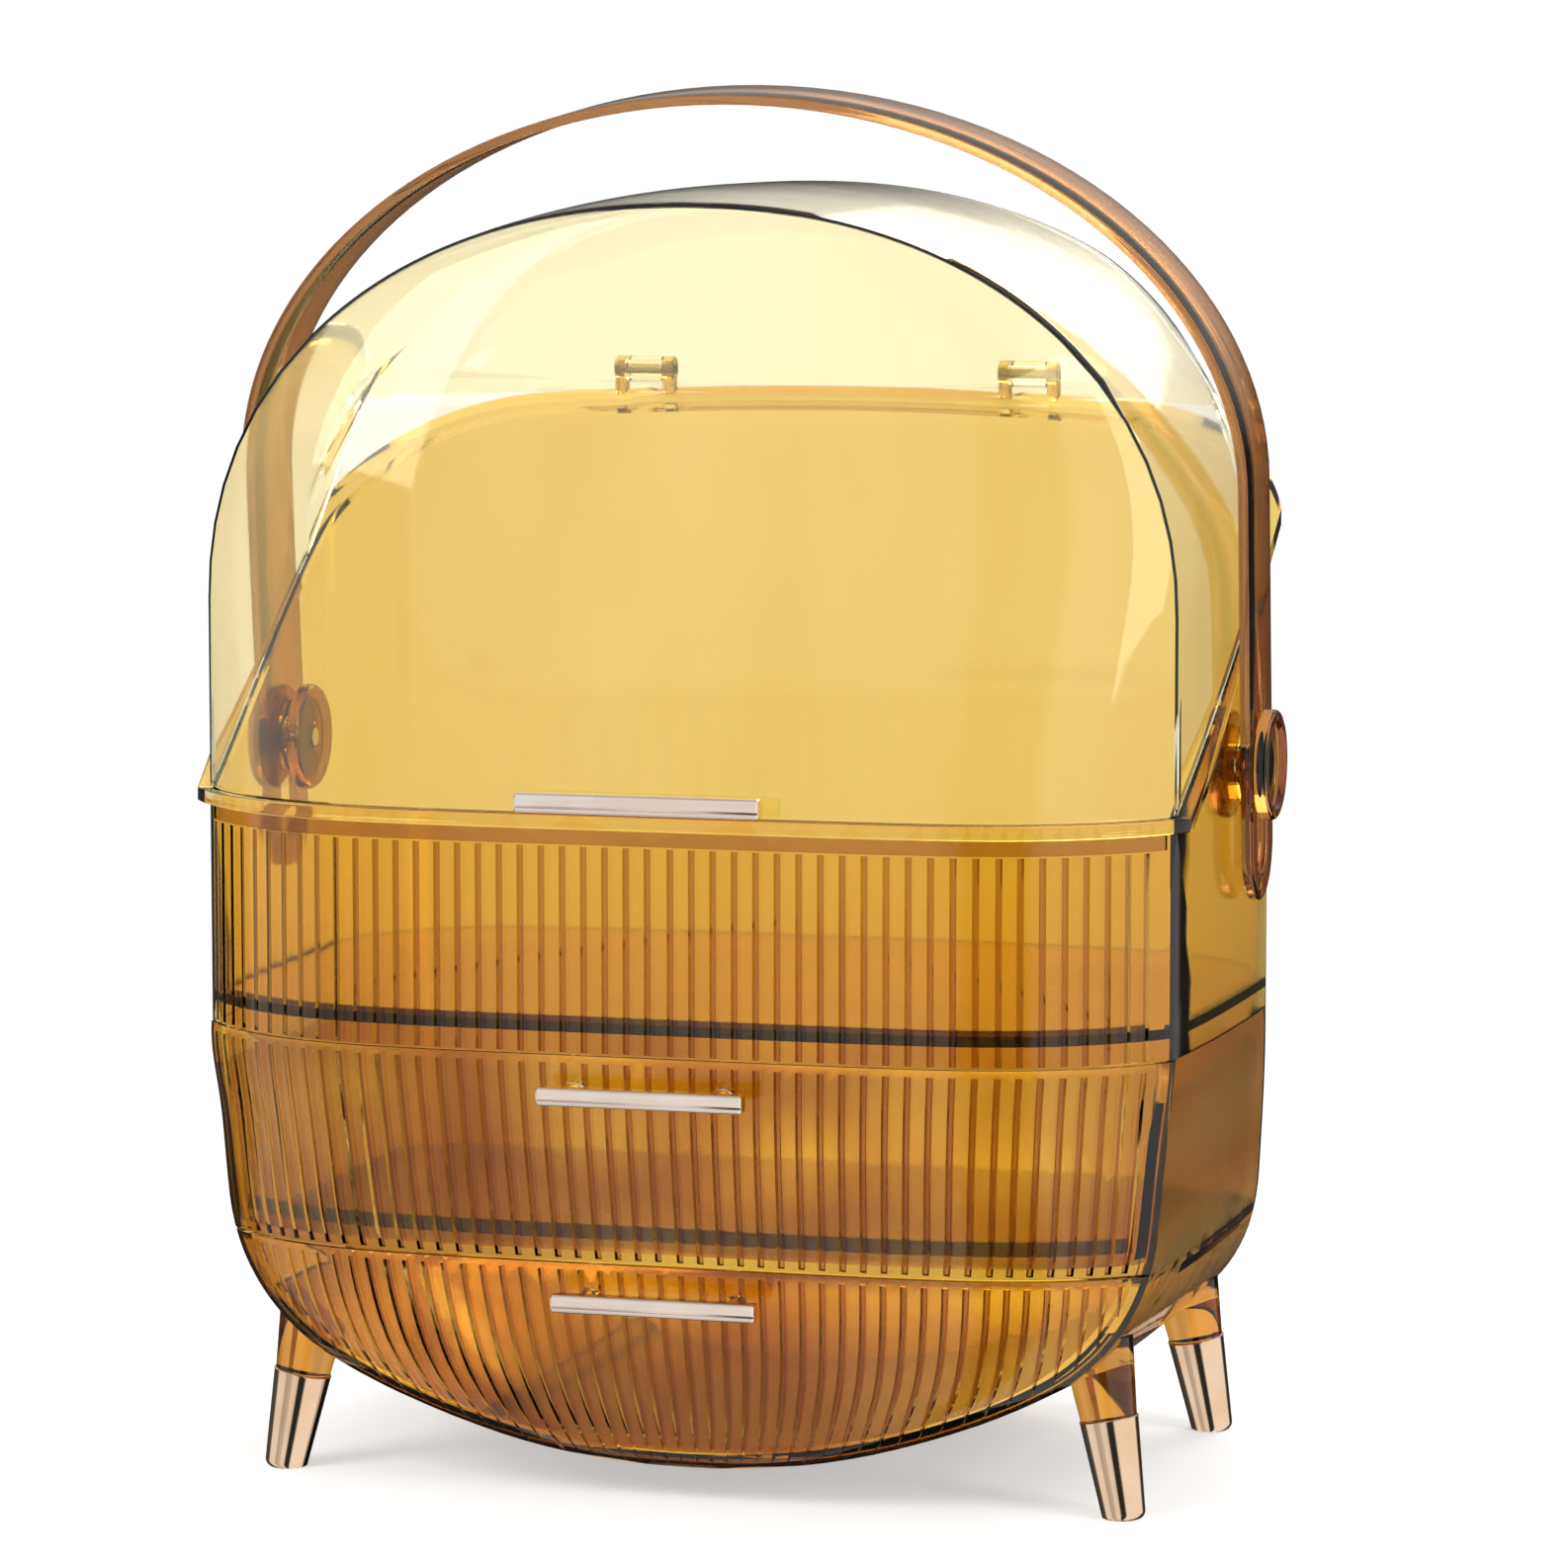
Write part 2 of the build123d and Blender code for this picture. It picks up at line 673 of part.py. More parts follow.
# Legs: a flared leg under each corner of the case, in a metal tip
drawer_path = prism_form(slide_gap, 0)
corners = {"front_left": (-1, -1), "front_right": (1, -1), "rear_left": (-1, 1), "rear_right": (1, 1)}
for name, (side, end) in corners.items():
    foot = Vector(side * foot_x, pivot_y + end * foot_y, -foot_flat)
    up = Vector(-side * splay_x, -end * splay_y, tip_height).normalized()
    across = up.cross(Vector(0, 1, 0)).normalized()
    leg_plane = Plane(origin=foot, x_dir=across, z_dir=across.cross(up))
    leg_axis = Axis(foot, up)
    reach = tip_height / up.Z
    tip_low_reach = tip_low_radius - tip_end_radius
    with BuildPart() as tip:
        with BuildSketch(leg_plane):
            with BuildLine():
                Polyline((0, 0), (tip_end_radius, 0), (tip_low_radius, tip_low_reach), (tip_top_radius, reach),
                         (spigot_radius, reach), (spigot_radius, reach - spigot_length),
                         (0, reach - spigot_length), close=True)
            make_face()
        revolve(axis=leg_axis)
        add(slab(-far, 0), mode=Mode.SUBTRACT)
    write(tip.part, f"leg_tip_{name}")

    with BuildPart() as leg:
        with BuildSketch(leg_plane):
            with BuildLine():
                Polyline((0, reach - spigot_length), (spigot_radius, reach - spigot_length),
                         (spigot_radius, reach), (leg_neck_radius, reach),
                         (leg_top_radius, reach + leg_length), (0, reach + leg_length), close=True)
            make_face()
        revolve(axis=leg_axis)
        add(body, mode=Mode.SUBTRACT)
        add(drawer_path, mode=Mode.SUBTRACT)
    lowest = leg.part.solids().sort_by(Axis.Z)[0]
    write(lowest, f"leg_{name}")
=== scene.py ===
from math import atan2, cos, pi, radians, sin, sqrt, tan

import bmesh
import bpy
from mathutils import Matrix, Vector
from mathutils.bvhtree import BVHTree


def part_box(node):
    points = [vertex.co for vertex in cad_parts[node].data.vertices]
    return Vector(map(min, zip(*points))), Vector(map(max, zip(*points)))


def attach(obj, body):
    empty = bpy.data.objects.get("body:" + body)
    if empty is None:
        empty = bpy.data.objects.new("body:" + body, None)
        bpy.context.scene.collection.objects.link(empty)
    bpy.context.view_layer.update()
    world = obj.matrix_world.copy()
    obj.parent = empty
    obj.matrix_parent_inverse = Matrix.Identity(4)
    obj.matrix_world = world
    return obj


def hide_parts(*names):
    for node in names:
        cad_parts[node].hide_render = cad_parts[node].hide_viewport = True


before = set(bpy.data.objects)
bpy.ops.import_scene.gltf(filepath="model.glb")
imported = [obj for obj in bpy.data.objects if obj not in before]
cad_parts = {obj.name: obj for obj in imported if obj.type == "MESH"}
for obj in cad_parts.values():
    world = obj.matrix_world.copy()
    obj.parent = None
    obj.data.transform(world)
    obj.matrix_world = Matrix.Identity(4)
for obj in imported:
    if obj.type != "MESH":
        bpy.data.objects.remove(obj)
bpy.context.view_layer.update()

MM = 0.001

# Sizes of the body in millimetres, as the frame was built
mouth_y = -62.606
body_half = 145.0
case_low_z = 9.7
bottom_radius = 230.0
corner_radius = 60.0
side_lean = radians(5.5)
upper_seam_z = 135.8
lower_seam_z = 73.8
arch_base_z = 260.0
arch_height = 116.0
arch_power = 2.15
swell = 4.7
swell_length = 120.0
rear_y = 103.194
rear_crown_radius = 900.0
front_bow = 36.0
bow_power = 5.6
top_bow_powers = (1.3, 1.2)
rim_front_z = 204.8
rim_slope = radians(33.4)
rim_gap = 0.3
pivot_y = 12.694
pivot_z = 212.2
foot_x = 128.3
foot_y = 62.4

# Flutes of the fronts
flute_count = 48
flute_border = 5.0
groove_half = 1.0
groove_root = 0.45
groove_depth = 0.95
groove_out = 1.2
lip = 2.6
flange_height = 4.2
flange_low_z = 200.6
band_low_z = 195.8
low_bow_powers = (1.4, 1.3)
lower_fan = 0.35


def rim_z(y):
    """Height of the tub's rim at depth y."""
    return rim_front_z + max(y - mouth_y, 0) * tan(rim_slope)


def corner_centre():
    """Centre of the rounded lower corner of the front outline."""
    down = Vector((-sin(side_lean), -cos(side_lean)))
    inward = Vector((-cos(side_lean), sin(side_lean)))
    bottom = Vector((0, case_low_z + bottom_radius))
    start = Vector((body_half, upper_seam_z)) + inward * corner_radius - bottom
    reach = bottom_radius - corner_radius
    along = start.dot(down)
    run = sqrt(along ** 2 - start.dot(start) + reach ** 2) - along
    return bottom + start + down * run


lower_corner = corner_centre()
corner_top_z = lower_corner.y - corner_radius * sin(side_lean)
corner_low_z = case_low_z + bottom_radius + (
    (lower_corner - Vector((0, case_low_z + bottom_radius))).normalized() * bottom_radius).y


def half_width(z, grow=0.0):
    """Half width of the body's front outline at height z."""
    if z >= arch_base_z:
        rise = min((z - arch_base_z) / (arch_height + grow), 1)
        return (body_half + grow) * (1 - rise ** arch_power) ** (1 / arch_power)
    if z >= upper_seam_z:
        return body_half + grow
    if z >= corner_top_z:
        return body_half - (upper_seam_z - z) * tan(side_lean)
    if z >= corner_low_z:
        return lower_corner.x + sqrt(corner_radius ** 2 - (lower_corner.y - z) ** 2)
    return sqrt(bottom_radius ** 2 - (case_low_z + bottom_radius - z) ** 2)


def low_share(z):
    """Share of the bow that is left at height z on the drawers."""
    share = min(max((upper_seam_z - z) / (upper_seam_z - case_low_z), 0), 1)
    return (1 - share ** low_bow_powers[0]) ** (1 / low_bow_powers[1])


def grow_at(y):
    """How far the body's outline has swelled at depth y."""
    share = min(max((y - mouth_y) / swell_length, 0), 1)
    return swell * (1 - (1 - share) ** 2.3)


def new_piece(name, vertices, faces, body, slot, material, smooth=True):
    """A mesh piece in metres from points in millimetres, riding on a body."""
    mesh = bpy.data.meshes.new(name)
    mesh.from_pydata([tuple(c * MM for c in v) for v in vertices], [], faces)
    mesh.validate()
    piece = bpy.data.objects.new(name, mesh)
    bpy.context.scene.collection.objects.link(piece)
    finish_mesh(piece, smooth)
    mesh.materials.append(material)
    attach(piece, body)
    return piece


def finish_mesh(piece, smooth=True):
    """Weld, turn faces outward and shade by angle."""
    work = bmesh.new()
    work.from_mesh(piece.data)
    bmesh.ops.remove_doubles(work, verts=work.verts, dist=2e-6)
    bmesh.ops.recalc_face_normals(work, faces=work.faces)
    for face in work.faces:
        face.smooth = smooth
    for edge in work.edges:
        if len(edge.link_faces) == 2:
            edge.smooth = edge.calc_face_angle(0) < radians(32)
    work.to_mesh(piece.data)
    work.free()


def copy_node(node, name):
    """A new welded mesh with the shape of a frame node."""
    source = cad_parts[node]
    mesh = bpy.data.meshes.new(name)
    points = [vertex.co[:] for vertex in source.data.vertices]
    mesh.from_pydata(points, [], [face.vertices[:] for face in source.data.polygons])
    piece = bpy.data.objects.new(name, mesh)
    bpy.context.scene.collection.objects.link(piece)
    finish_mesh(piece)
    return piece


def apply_modifier(piece, kind, **values):
    """Add a modifier to a piece and apply it to its mesh."""
    modifier = piece.modifiers.new(kind.lower(), kind)
    for key, value in values.items():
        setattr(modifier, key, value)
    graph = bpy.context.evaluated_depsgraph_get()
    made = bpy.data.meshes.new_from_object(piece.evaluated_get(graph))
    piece.modifiers.clear()
    old = piece.data
    piece.data = made
    bpy.data.meshes.remove(old)


# Node groups shared by the materials

def new_group(name, inputs, outputs):
    """A shader node group with named number inputs and outputs."""
    group = bpy.data.node_groups.new(name, "ShaderNodeTree")
    for label, default in inputs:
        socket = group.interface.new_socket(label, in_out="INPUT", socket_type="NodeSocketFloat")
        socket.default_value = default
    for label in outputs:
        group.interface.new_socket(label, in_out="OUTPUT", socket_type="NodeSocketFloat")
    return group, group.nodes.new("NodeGroupInput"), group.nodes.new("NodeGroupOutput")


def noise(tree, vector, scale, detail=2.0):
    """A noise texture on a vector output."""
    node = tree.nodes.new("ShaderNodeTexNoise")
    node.inputs["Detail"].default_value = detail
    if isinstance(scale, (int, float)):
        node.inputs["Scale"].default_value = scale
    else:
        tree.links.new(scale, node.inputs["Scale"])
    tree.links.new(vector, node.inputs["Vector"])
    return node


def mapped(tree, value, low, high, to_low, to_high):
    """A value taken from one range to another."""
    node = tree.nodes.new("ShaderNodeMapRange")
    for label, number in (("From Min", low), ("From Max", high), ("To Min", to_low), ("To Max", to_high)):
        if isinstance(number, (int, float)):
            node.inputs[label].default_value = number
        else:
            tree.links.new(number, node.inputs[label])
    tree.links.new(value, node.inputs["Value"])
    return node.outputs["Result"]


def moulded_flow_group():
    """Slow flow marks of injection moulding: a height, a roughness and a tint mask."""
    group, start, end = new_group("moulded_flow", [("Flow Scale", 18.0), ("Smooth", 0.03), ("Hazed", 0.09)],
                                  ["Height", "Roughness", "Tint"])
    place = group.nodes.new("ShaderNodeTexCoord")
    stretch = group.nodes.new("ShaderNodeMapping")
    stretch.inputs["Scale"].default_value = (1.0, 1.0, 0.35)
    group.links.new(place.outputs["Object"], stretch.inputs["Vector"])
    flow = noise(group, stretch.outputs["Vector"], start.outputs["Flow Scale"], 3.0)
    fine = noise(group, place.outputs["Object"], 420.0, 2.0)
    group.links.new(flow.outputs["Fac"], end.inputs["Height"])
    rough = mapped(group, fine.outputs["Fac"], 0.35, 0.75, start.outputs["Smooth"], start.outputs["Hazed"])
    group.links.new(rough, end.inputs["Roughness"])
    group.links.new(mapped(group, flow.outputs["Fac"], 0.3, 0.7, 0.0, 1.0), end.inputs["Tint"])
    return group


def plated_group():
    """Fine drawn marks in plated metal: a height, a roughness and a tint mask."""
    settings = [("Mark Scale", 900.0), ("Polished", 0.08), ("Brushed", 0.22)]
    group, start, end = new_group("plated_marks", settings, ["Height", "Roughness", "Tint"])
    place = group.nodes.new("ShaderNodeTexCoord")
    stretch = group.nodes.new("ShaderNodeMapping")
    stretch.inputs["Scale"].default_value = (0.04, 1.0, 1.0)
    group.links.new(place.outputs["Object"], stretch.inputs["Vector"])
    marks = noise(group, stretch.outputs["Vector"], start.outputs["Mark Scale"], 3.0)
    cloud = noise(group, place.outputs["Object"], 60.0, 2.0)
    group.links.new(marks.outputs["Fac"], end.inputs["Height"])
    rough = mapped(group, marks.outputs["Fac"], 0.3, 0.7, start.outputs["Polished"], start.outputs["Brushed"])
    group.links.new(rough, end.inputs["Roughness"])
    group.links.new(mapped(group, cloud.outputs["Fac"], 0.35, 0.7, 0.0, 1.0), end.inputs["Tint"])
    return group


def painted_light_pools_group(name, pools, low_z, high_z):
    """A mask of painted light on the plastic: pools of light given by x, z, reach and level, fading to
    painted shade towards the bottom.
    """
    group, _, end = new_group(name, [], ["Mask"])
    place = group.nodes.new("ShaderNodeTexCoord")
    flat = group.nodes.new("ShaderNodeMapping")
    flat.inputs["Scale"].default_value = (1.0, 0.0, 1.0)
    group.links.new(place.outputs["Object"], flat.inputs["Vector"])
    wave = noise(group, flat.outputs["Vector"], 24.0, 1.0)
    light = mapped(group, wave.outputs["Fac"], 0.35, 0.75, 0.0, 0.5)
    for x, z, reach, level in pools:
        away = group.nodes.new("ShaderNodeVectorMath")
        away.operation = "DISTANCE"
        group.links.new(flat.outputs["Vector"], away.inputs[0])
        away.inputs[1].default_value = (x, 0.0, z)
        pool = mapped(group, away.outputs["Value"], reach * 0.25, reach, level, 0.0)
        most = group.nodes.new("ShaderNodeMath")
        most.operation = "MAXIMUM"
        group.links.new(light, most.inputs[0])
        group.links.new(pool, most.inputs[1])
        light = most.outputs[0]
    split = group.nodes.new("ShaderNodeSeparateXYZ")
    group.links.new(place.outputs["Object"], split.inputs["Vector"])
    rise = mapped(group, split.outputs["Z"], low_z, high_z, 0.0, 1.0)
    both = group.nodes.new("ShaderNodeMath")
    both.operation = "MULTIPLY"
    group.links.new(light, both.inputs[0])
    group.links.new(rise, both.inputs[1])
    group.links.new(both.outputs[0], end.inputs["Mask"])
    return group


moulded_flow = moulded_flow_group()
plated_marks = plated_group()
# Painted light: pools of light painted on the drawers, the case and the tub, each as x, z, reach and level
upper_drawer_painted_pools = ((0.100, 0.120, 0.060, 1.0), (-0.100, 0.115, 0.050, 1.0), (-0.015, 0.128, 0.040, 1.0))
lower_drawer_painted_pools = ((0.085, 0.052, 0.060, 1.0), (-0.085, 0.055, 0.050, 0.9), (-0.005, 0.068, 0.035, 1.0))
case_painted_pools = ((0.0, 0.060, 0.145, 1.0), (0.145, 0.140, 0.065, 0.22), (-0.145, 0.140, 0.065, 0.22))
drawer_painted_pools = upper_drawer_painted_pools + lower_drawer_painted_pools
drawer_painted_light = painted_light_pools_group("drawer_painted_light_pools", drawer_painted_pools, 0.008, 0.036)
case_painted_light = painted_light_pools_group("case_painted_light_pools", case_painted_pools, 0.004, 0.035)
tub_painted_light = painted_light_pools_group("tub_painted_light_pools", ((0.0, 0.250, 0.300, 1.0),), 0.110, 0.190)


def paint_light_and_shade(material, pools, dark):
    """Paint light and shade into a material's colour: it turns to a darker colour, painted shade, away from
    its painted pools of light.
    """
    tree = material.node_tree
    shader = tree.nodes["Principled BSDF"]
    light = shader.inputs["Base Color"].links[0].from_socket
    effect = tree.nodes.new("ShaderNodeGroup")
    effect.node_tree = pools
    mix = tree.nodes.new("ShaderNodeMix")
    mix.data_type = "RGBA"
    mix.inputs["A"].default_value = (*dark, 1)
    tree.links.new(light, mix.inputs["B"])
    tree.links.new(effect.outputs["Mask"], mix.inputs["Factor"])
    tree.links.new(mix.outputs["Result"], shader.inputs["Base Color"])


def effect_material(name, group, settings, light, deep, bump, distance):
    """A material whose colour, roughness and relief vary by a shared group."""
    material = bpy.data.materials.new(name)
    material.use_nodes = True
    tree = material.node_tree
    shader = tree.nodes["Principled BSDF"]
    effect = tree.nodes.new("ShaderNodeGroup")
    effect.node_tree = group
    for label, value in settings.items():
        effect.inputs[label].default_value = value
    tint = tree.nodes.new("ShaderNodeMix")
    tint.data_type = "RGBA"
    tint.inputs["A"].default_value = (*light, 1)
    tint.inputs["B"].default_value = (*deep, 1)
    tree.links.new(effect.outputs["Tint"], tint.inputs["Factor"])
    tree.links.new(tint.outputs["Result"], shader.inputs["Base Color"])
    tree.links.new(effect.outputs["Roughness"], shader.inputs["Roughness"])
    relief = tree.nodes.new("ShaderNodeBump")
    relief.inputs["Strength"].default_value = bump
    relief.inputs["Distance"].default_value = distance
    tree.links.new(effect.outputs["Height"], relief.inputs["Height"])
    tree.links.new(relief.outputs["Normal"], shader.inputs["Normal"])
    return material, shader


def clear_plastic(name, light, deep, smooth, hazed, flow_scale=18.0, relief=0.12):
    """Clear tinted moulded plastic."""
    settings = {"Flow Scale": flow_scale, "Smooth": smooth, "Hazed": hazed}
    material, shader = effect_material(name, moulded_flow, settings, light, deep, relief, 0.0006)
    shader.inputs["Transmission Weight"].default_value = 1.0
    shader.inputs["IOR"].default_value = 1.49
    return material


def plated_metal(name, light, deep, polished, brushed):
    """Plated metal with fine drawn marks."""
    material, shader = effect_material(name, plated_marks, {"Polished": polished, "Brushed": brushed},
                                       light, deep, 0.05, 0.0001)
    shader.inputs["Metallic"].default_value = 1.0
    return material


amber_front = clear_plastic("amber_fluted", (0.98, 0.85, 0.32), (0.95, 0.80, 0.24), 0.03, 0.10)
amber_tub = clear_plastic("amber_bin", (0.90, 0.66, 0.19), (0.86, 0.60, 0.13), 0.03, 0.08)
# Paler and deeper copies of the tub's amber for its flange: painted light on the bead in front, painted shade
# along the slanted rim
bead_painted_light = clear_plastic("bead_painted_light", (0.93, 0.80, 0.46), (0.88, 0.72, 0.34), 0.02, 0.05)
rim_painted_shade = clear_plastic("rim_painted_shade", (0.60, 0.33, 0.05), (0.48, 0.23, 0.03), 0.03, 0.08)
# Painted shade: a dark amber on the faces of the grooves and of the band under the flange, for the shade in
# these recesses
groove_painted_shade = clear_plastic("groove_painted_shade", (0.42, 0.19, 0.03), (0.30, 0.12, 0.015), 0.05, 0.12)
amber_leg = clear_plastic("amber_leg", (0.60, 0.28, 0.04), (0.46, 0.18, 0.02), 0.04, 0.10, 30.0)
brown_case = clear_plastic("brown_case", (0.93, 0.71, 0.28), (0.90, 0.66, 0.22), 0.04, 0.10)
brown_handle = clear_plastic("brown_handle", (0.42, 0.19, 0.06), (0.30, 0.12, 0.035), 0.05, 0.12, 12.0, 0.03)
brown_cap = clear_plastic("brown_cap", (0.50, 0.23, 0.05), (0.38, 0.15, 0.03), 0.04, 0.10, 40.0)
pale_cover = clear_plastic("pale_cover", (0.98, 0.93, 0.75), (0.965, 0.895, 0.65), 0.015, 0.05, 9.0)
# Painted shade: a dark olive on the cover's bevelled edges, for the dark line seen along them
cover_edge_painted_shade = clear_plastic("cover_edge_painted_shade", (0.36, 0.30, 0.13), (0.28, 0.22, 0.08), 0.06, 0.14, 40.0)
# Painted shade: a near-black brown for the strips at the floors' front edges, for the dark lines seen there
floor_edge_painted_shade = clear_plastic("floor_edge_painted_shade", (0.16, 0.055, 0.012), (0.10, 0.03, 0.006), 0.10, 0.2)
rose_gold = plated_metal("rose_gold_plate", (0.90, 0.68, 0.50), (0.84, 0.58, 0.39), 0.05, 0.12)
pull_metal = plated_metal("rose_silver_plate", (0.90, 0.80, 0.74), (0.84, 0.70, 0.62), 0.10, 0.24)
plain_steel = plated_metal("screw_steel", (0.66, 0.65, 0.63), (0.50, 0.49, 0.48), 0.18, 0.34)
# Painted shade: away from the painted pools of light each material turns to these darker colours
paint_light_and_shade(amber_front, drawer_painted_light, (0.62, 0.36, 0.06))
paint_light_and_shade(brown_case, case_painted_light, (0.47, 0.20, 0.04))
paint_light_and_shade(amber_tub, tub_painted_light, (0.80, 0.52, 0.11))


# Fluted fronts: narrow grooves cut along the bowed faces

def flute_shares():
    """Shares of the half width where the grooves lie, evenly spaced along the bowed front."""
    steps = 600
    points = []
    for step in range(steps + 1):
        share = -1 + 2 * step / steps
        points.append((share, Vector((share * body_half, -front_bow * (1 - abs(share) ** bow_power)))))
    lengths = [0.0]
    for before, after in zip(points, points[1:]):
        lengths.append(lengths[-1] + (after[1] - before[1]).length)
    run = (lengths[-1] - 2 * flute_border) / flute_count
    shares = []
    for mark in range(flute_count + 1):
        target = flute_border + run * mark
        index = next(i for i, length in enumerate(lengths) if length >= target)
        shares.append(points[index][0])
    return shares


def soften(piece, chosen, width, segments=3):
    """Round the sharp edges of a piece whose middles are chosen, given in millimetres."""
    work = bmesh.new()
    work.from_mesh(piece.data)
    weight = work.edges.layers.float.new("bevel_weight_edge")
    for edge in work.edges:
        middle = (edge.verts[0].co + edge.verts[1].co) / 2 / MM
        sharp = len(edge.link_faces) == 2 and edge.calc_face_angle(0) > radians(50)
        edge[weight] = 1.0 if sharp and chosen(middle) else 0.0
    work.to_mesh(piece.data)
    work.free()
    apply_modifier(piece, "BEVEL", width=width * MM, segments=segments, limit_method="WEIGHT")


def add_bar(work, sections):
    """A closed bar through four-cornered sections, whose cut faces take the groove's painted shade."""
    loops = [[work.verts.new(corner) for corner in corners] for corners in sections]
    faces = []
    for above, below in zip(loops, loops[1:]):
        for side in range(4):
            turn = (side + 1) % 4
            faces.append(work.faces.new((above[side], above[turn], below[turn], below[side])))
    faces.append(work.faces.new(loops[0][::-1]))
    faces.append(work.faces.new(loops[-1]))
    for face in faces:
        face.material_index = 1


def from_front(tree, x, z):
    """Where a line from in front of the body meets a surface at x and z, and the surface's normal there."""
    return tree.ray_cast(Vector((x, -400, z)) * MM, Vector((0, 1, 0)))[:2]


def band_bar(work, tree, low_z, high_z, depth):
    """A cutter for a shallow level band right across a front."""
    sections = []
    shares = [sin(radians(90 * step / 40)) * 0.985 for step in range(-40, 41)]
    for share in shares:
        hit, normal = from_front(tree, share * body_half, low_z)
        rise = Vector((0, 0, (high_z - low_z) * MM))
        sections.append((hit + normal * groove_out * MM + rise, hit + normal * groove_out * MM,
                         hit - normal * depth * MM, hit - normal * depth * MM + rise))
    # The band's cut faces take the same painted shade as the grooves
    add_bar(work, sections)


def groove_bars(name, tree, low_z, high_z, rows, fan, end_fade, band=None):
    """Cutters for the grooves of one front, laid along its own surface."""
    work = bmesh.new()
    if band:
        band_bar(work, tree, *band)
    top_half = half_width(high_z)
    for share in flute_shares():
        rings = []
        for row in range(rows + 1):
            z = high_z + (low_z - high_z) * row / rows
            half = half_width(z)
            x = share * (top_half * (1 - fan) + half * fan)
            if abs(x) > half - flute_border * 0.6:
                break
            hit, normal = from_front(tree, x, z)
            if hit is None or hit.y > (mouth_y - 0.8) * MM:
                break
            rings.append((hit, normal))
        if len(rings) < 2:
            continue
        sections = []
        for place, (hit, normal) in enumerate(rings):
            ahead = rings[min(place + 1, len(rings) - 1)][0] - rings[max(place - 1, 0)][0]
            across = normal.cross(ahead).normalized()
            fade = min(1.0, (len(rings) - 1 - place + 0.35) / end_fade) if end_fade else 1.0
            depth = groove_depth * (0.15 + 0.85 * fade)
            width = groove_half * (0.4 + 0.6 * fade)
            top_out = hit + normal * groove_out * MM
            wide = width * (1 + groove_out / groove_depth * (1 - groove_root / groove_half))
            low_in = hit - normal * depth * MM
            root = groove_root * (0.5 + 0.5 * fade)
            corners = (top_out + across * wide * MM, top_out - across * wide * MM,
                       low_in - across * root * MM, low_in + across * root * MM)
            sections.append(corners)
        add_bar(work, sections)
    bmesh.ops.recalc_face_normals(work, faces=work.faces)
    mesh = bpy.data.meshes.new(name)
    work.to_mesh(mesh)
    work.free()
    for finish in (amber_tub, groove_painted_shade, bead_painted_light, rim_painted_shade):
        mesh.materials.append(finish)
    cutter = bpy.data.objects.new(name, mesh)
    bpy.context.scene.collection.objects.link(cutter)
    return cutter


def fluted_front(node, name, body, low_z, high_z, rows, fan, end_fade, material, rounded, band=None):
    """A front with its grooves cut, in place of a smooth frame node."""
    piece = copy_node(node, name)
    for finish in (material, groove_painted_shade, bead_painted_light, rim_painted_shade):
        piece.data.materials.append(finish)
    soften(piece, *rounded)
    if band:
        paint_flange_light_and_shade(piece)
    tree = BVHTree.FromObject(piece, bpy.context.evaluated_depsgraph_get())
    cutter = groove_bars(f"{name}_grooves", tree, low_z, high_z, rows, fan, end_fade, band)
    apply_modifier(piece, "BOOLEAN", operation="DIFFERENCE", solver="EXACT", object=cutter)
    bpy.data.objects.remove(cutter)
    finish_mesh(piece)
    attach(piece, body)
    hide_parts(node)
    return piece


def on_flange(point):
    """Edges of the flange along the tub's rim."""
    beside = abs(point.x) > half_width(point.z, grow_at(point.y)) + 2.5
    outside = beside or point.y < mouth_y or point.y > rear_y + 2
    return outside and point.z > rim_z(point.y) - flange_height - 0.5 and point.z < rim_z(point.y) + 0.5


def paint_flange_light_and_shade(piece):
    """Paint light and shade on the flange: a paler copy of the amber as painted light on the bead in front, a
    deeper copy as painted shade along the slanted rim.
    """
    for face in piece.data.polygons:
        middle = face.center / MM
        if on_flange(middle):
            face.material_index = 2 if middle.y < mouth_y + 2 else 3


def at_lip(seam_z):
    """A test for the edges along the top of a drawer's front."""
    return lambda point: seam_z - 1 < point.z < seam_z and point.y < mouth_y - 0.1


fluted_front("upper_tub", "fluted_tub", "case_body", upper_seam_z + 0.5,
             band_low_z - 0.5, 1, 1.0, 0, amber_tub,
             (on_flange, 1.9, 5), (band_low_z, flange_low_z - 0.6, 0.7))
fluted_front("upper_drawer", "fluted_upper_drawer", "top_drawer", lower_seam_z + 1.2,
             upper_seam_z - lip, 8, 1.0, 0, amber_front, (at_lip(upper_seam_z), 0.7))
fluted_front("lower_drawer", "fluted_lower_drawer", "bottom_drawer", case_low_z + 1.5,
             lower_seam_z - lip, 26, lower_fan, 6, amber_front, (at_lip(lower_seam_z), 0.7))


# Painted shade: dark strips at the front edges of the floors, for the dark lines seen there through the
# fronts

def strip_faces(count):
    """Faces of a closed strip through rings of four points."""
    faces = [(0, 3, 2, 1), tuple(range(count - 4, count))]
    for step in range(count // 4 - 1):
        for edge in range(4):
            a, b = step * 4 + edge, step * 4 + (edge + 1) % 4
            faces.append((a, b, b + 4, a + 4))
    return faces


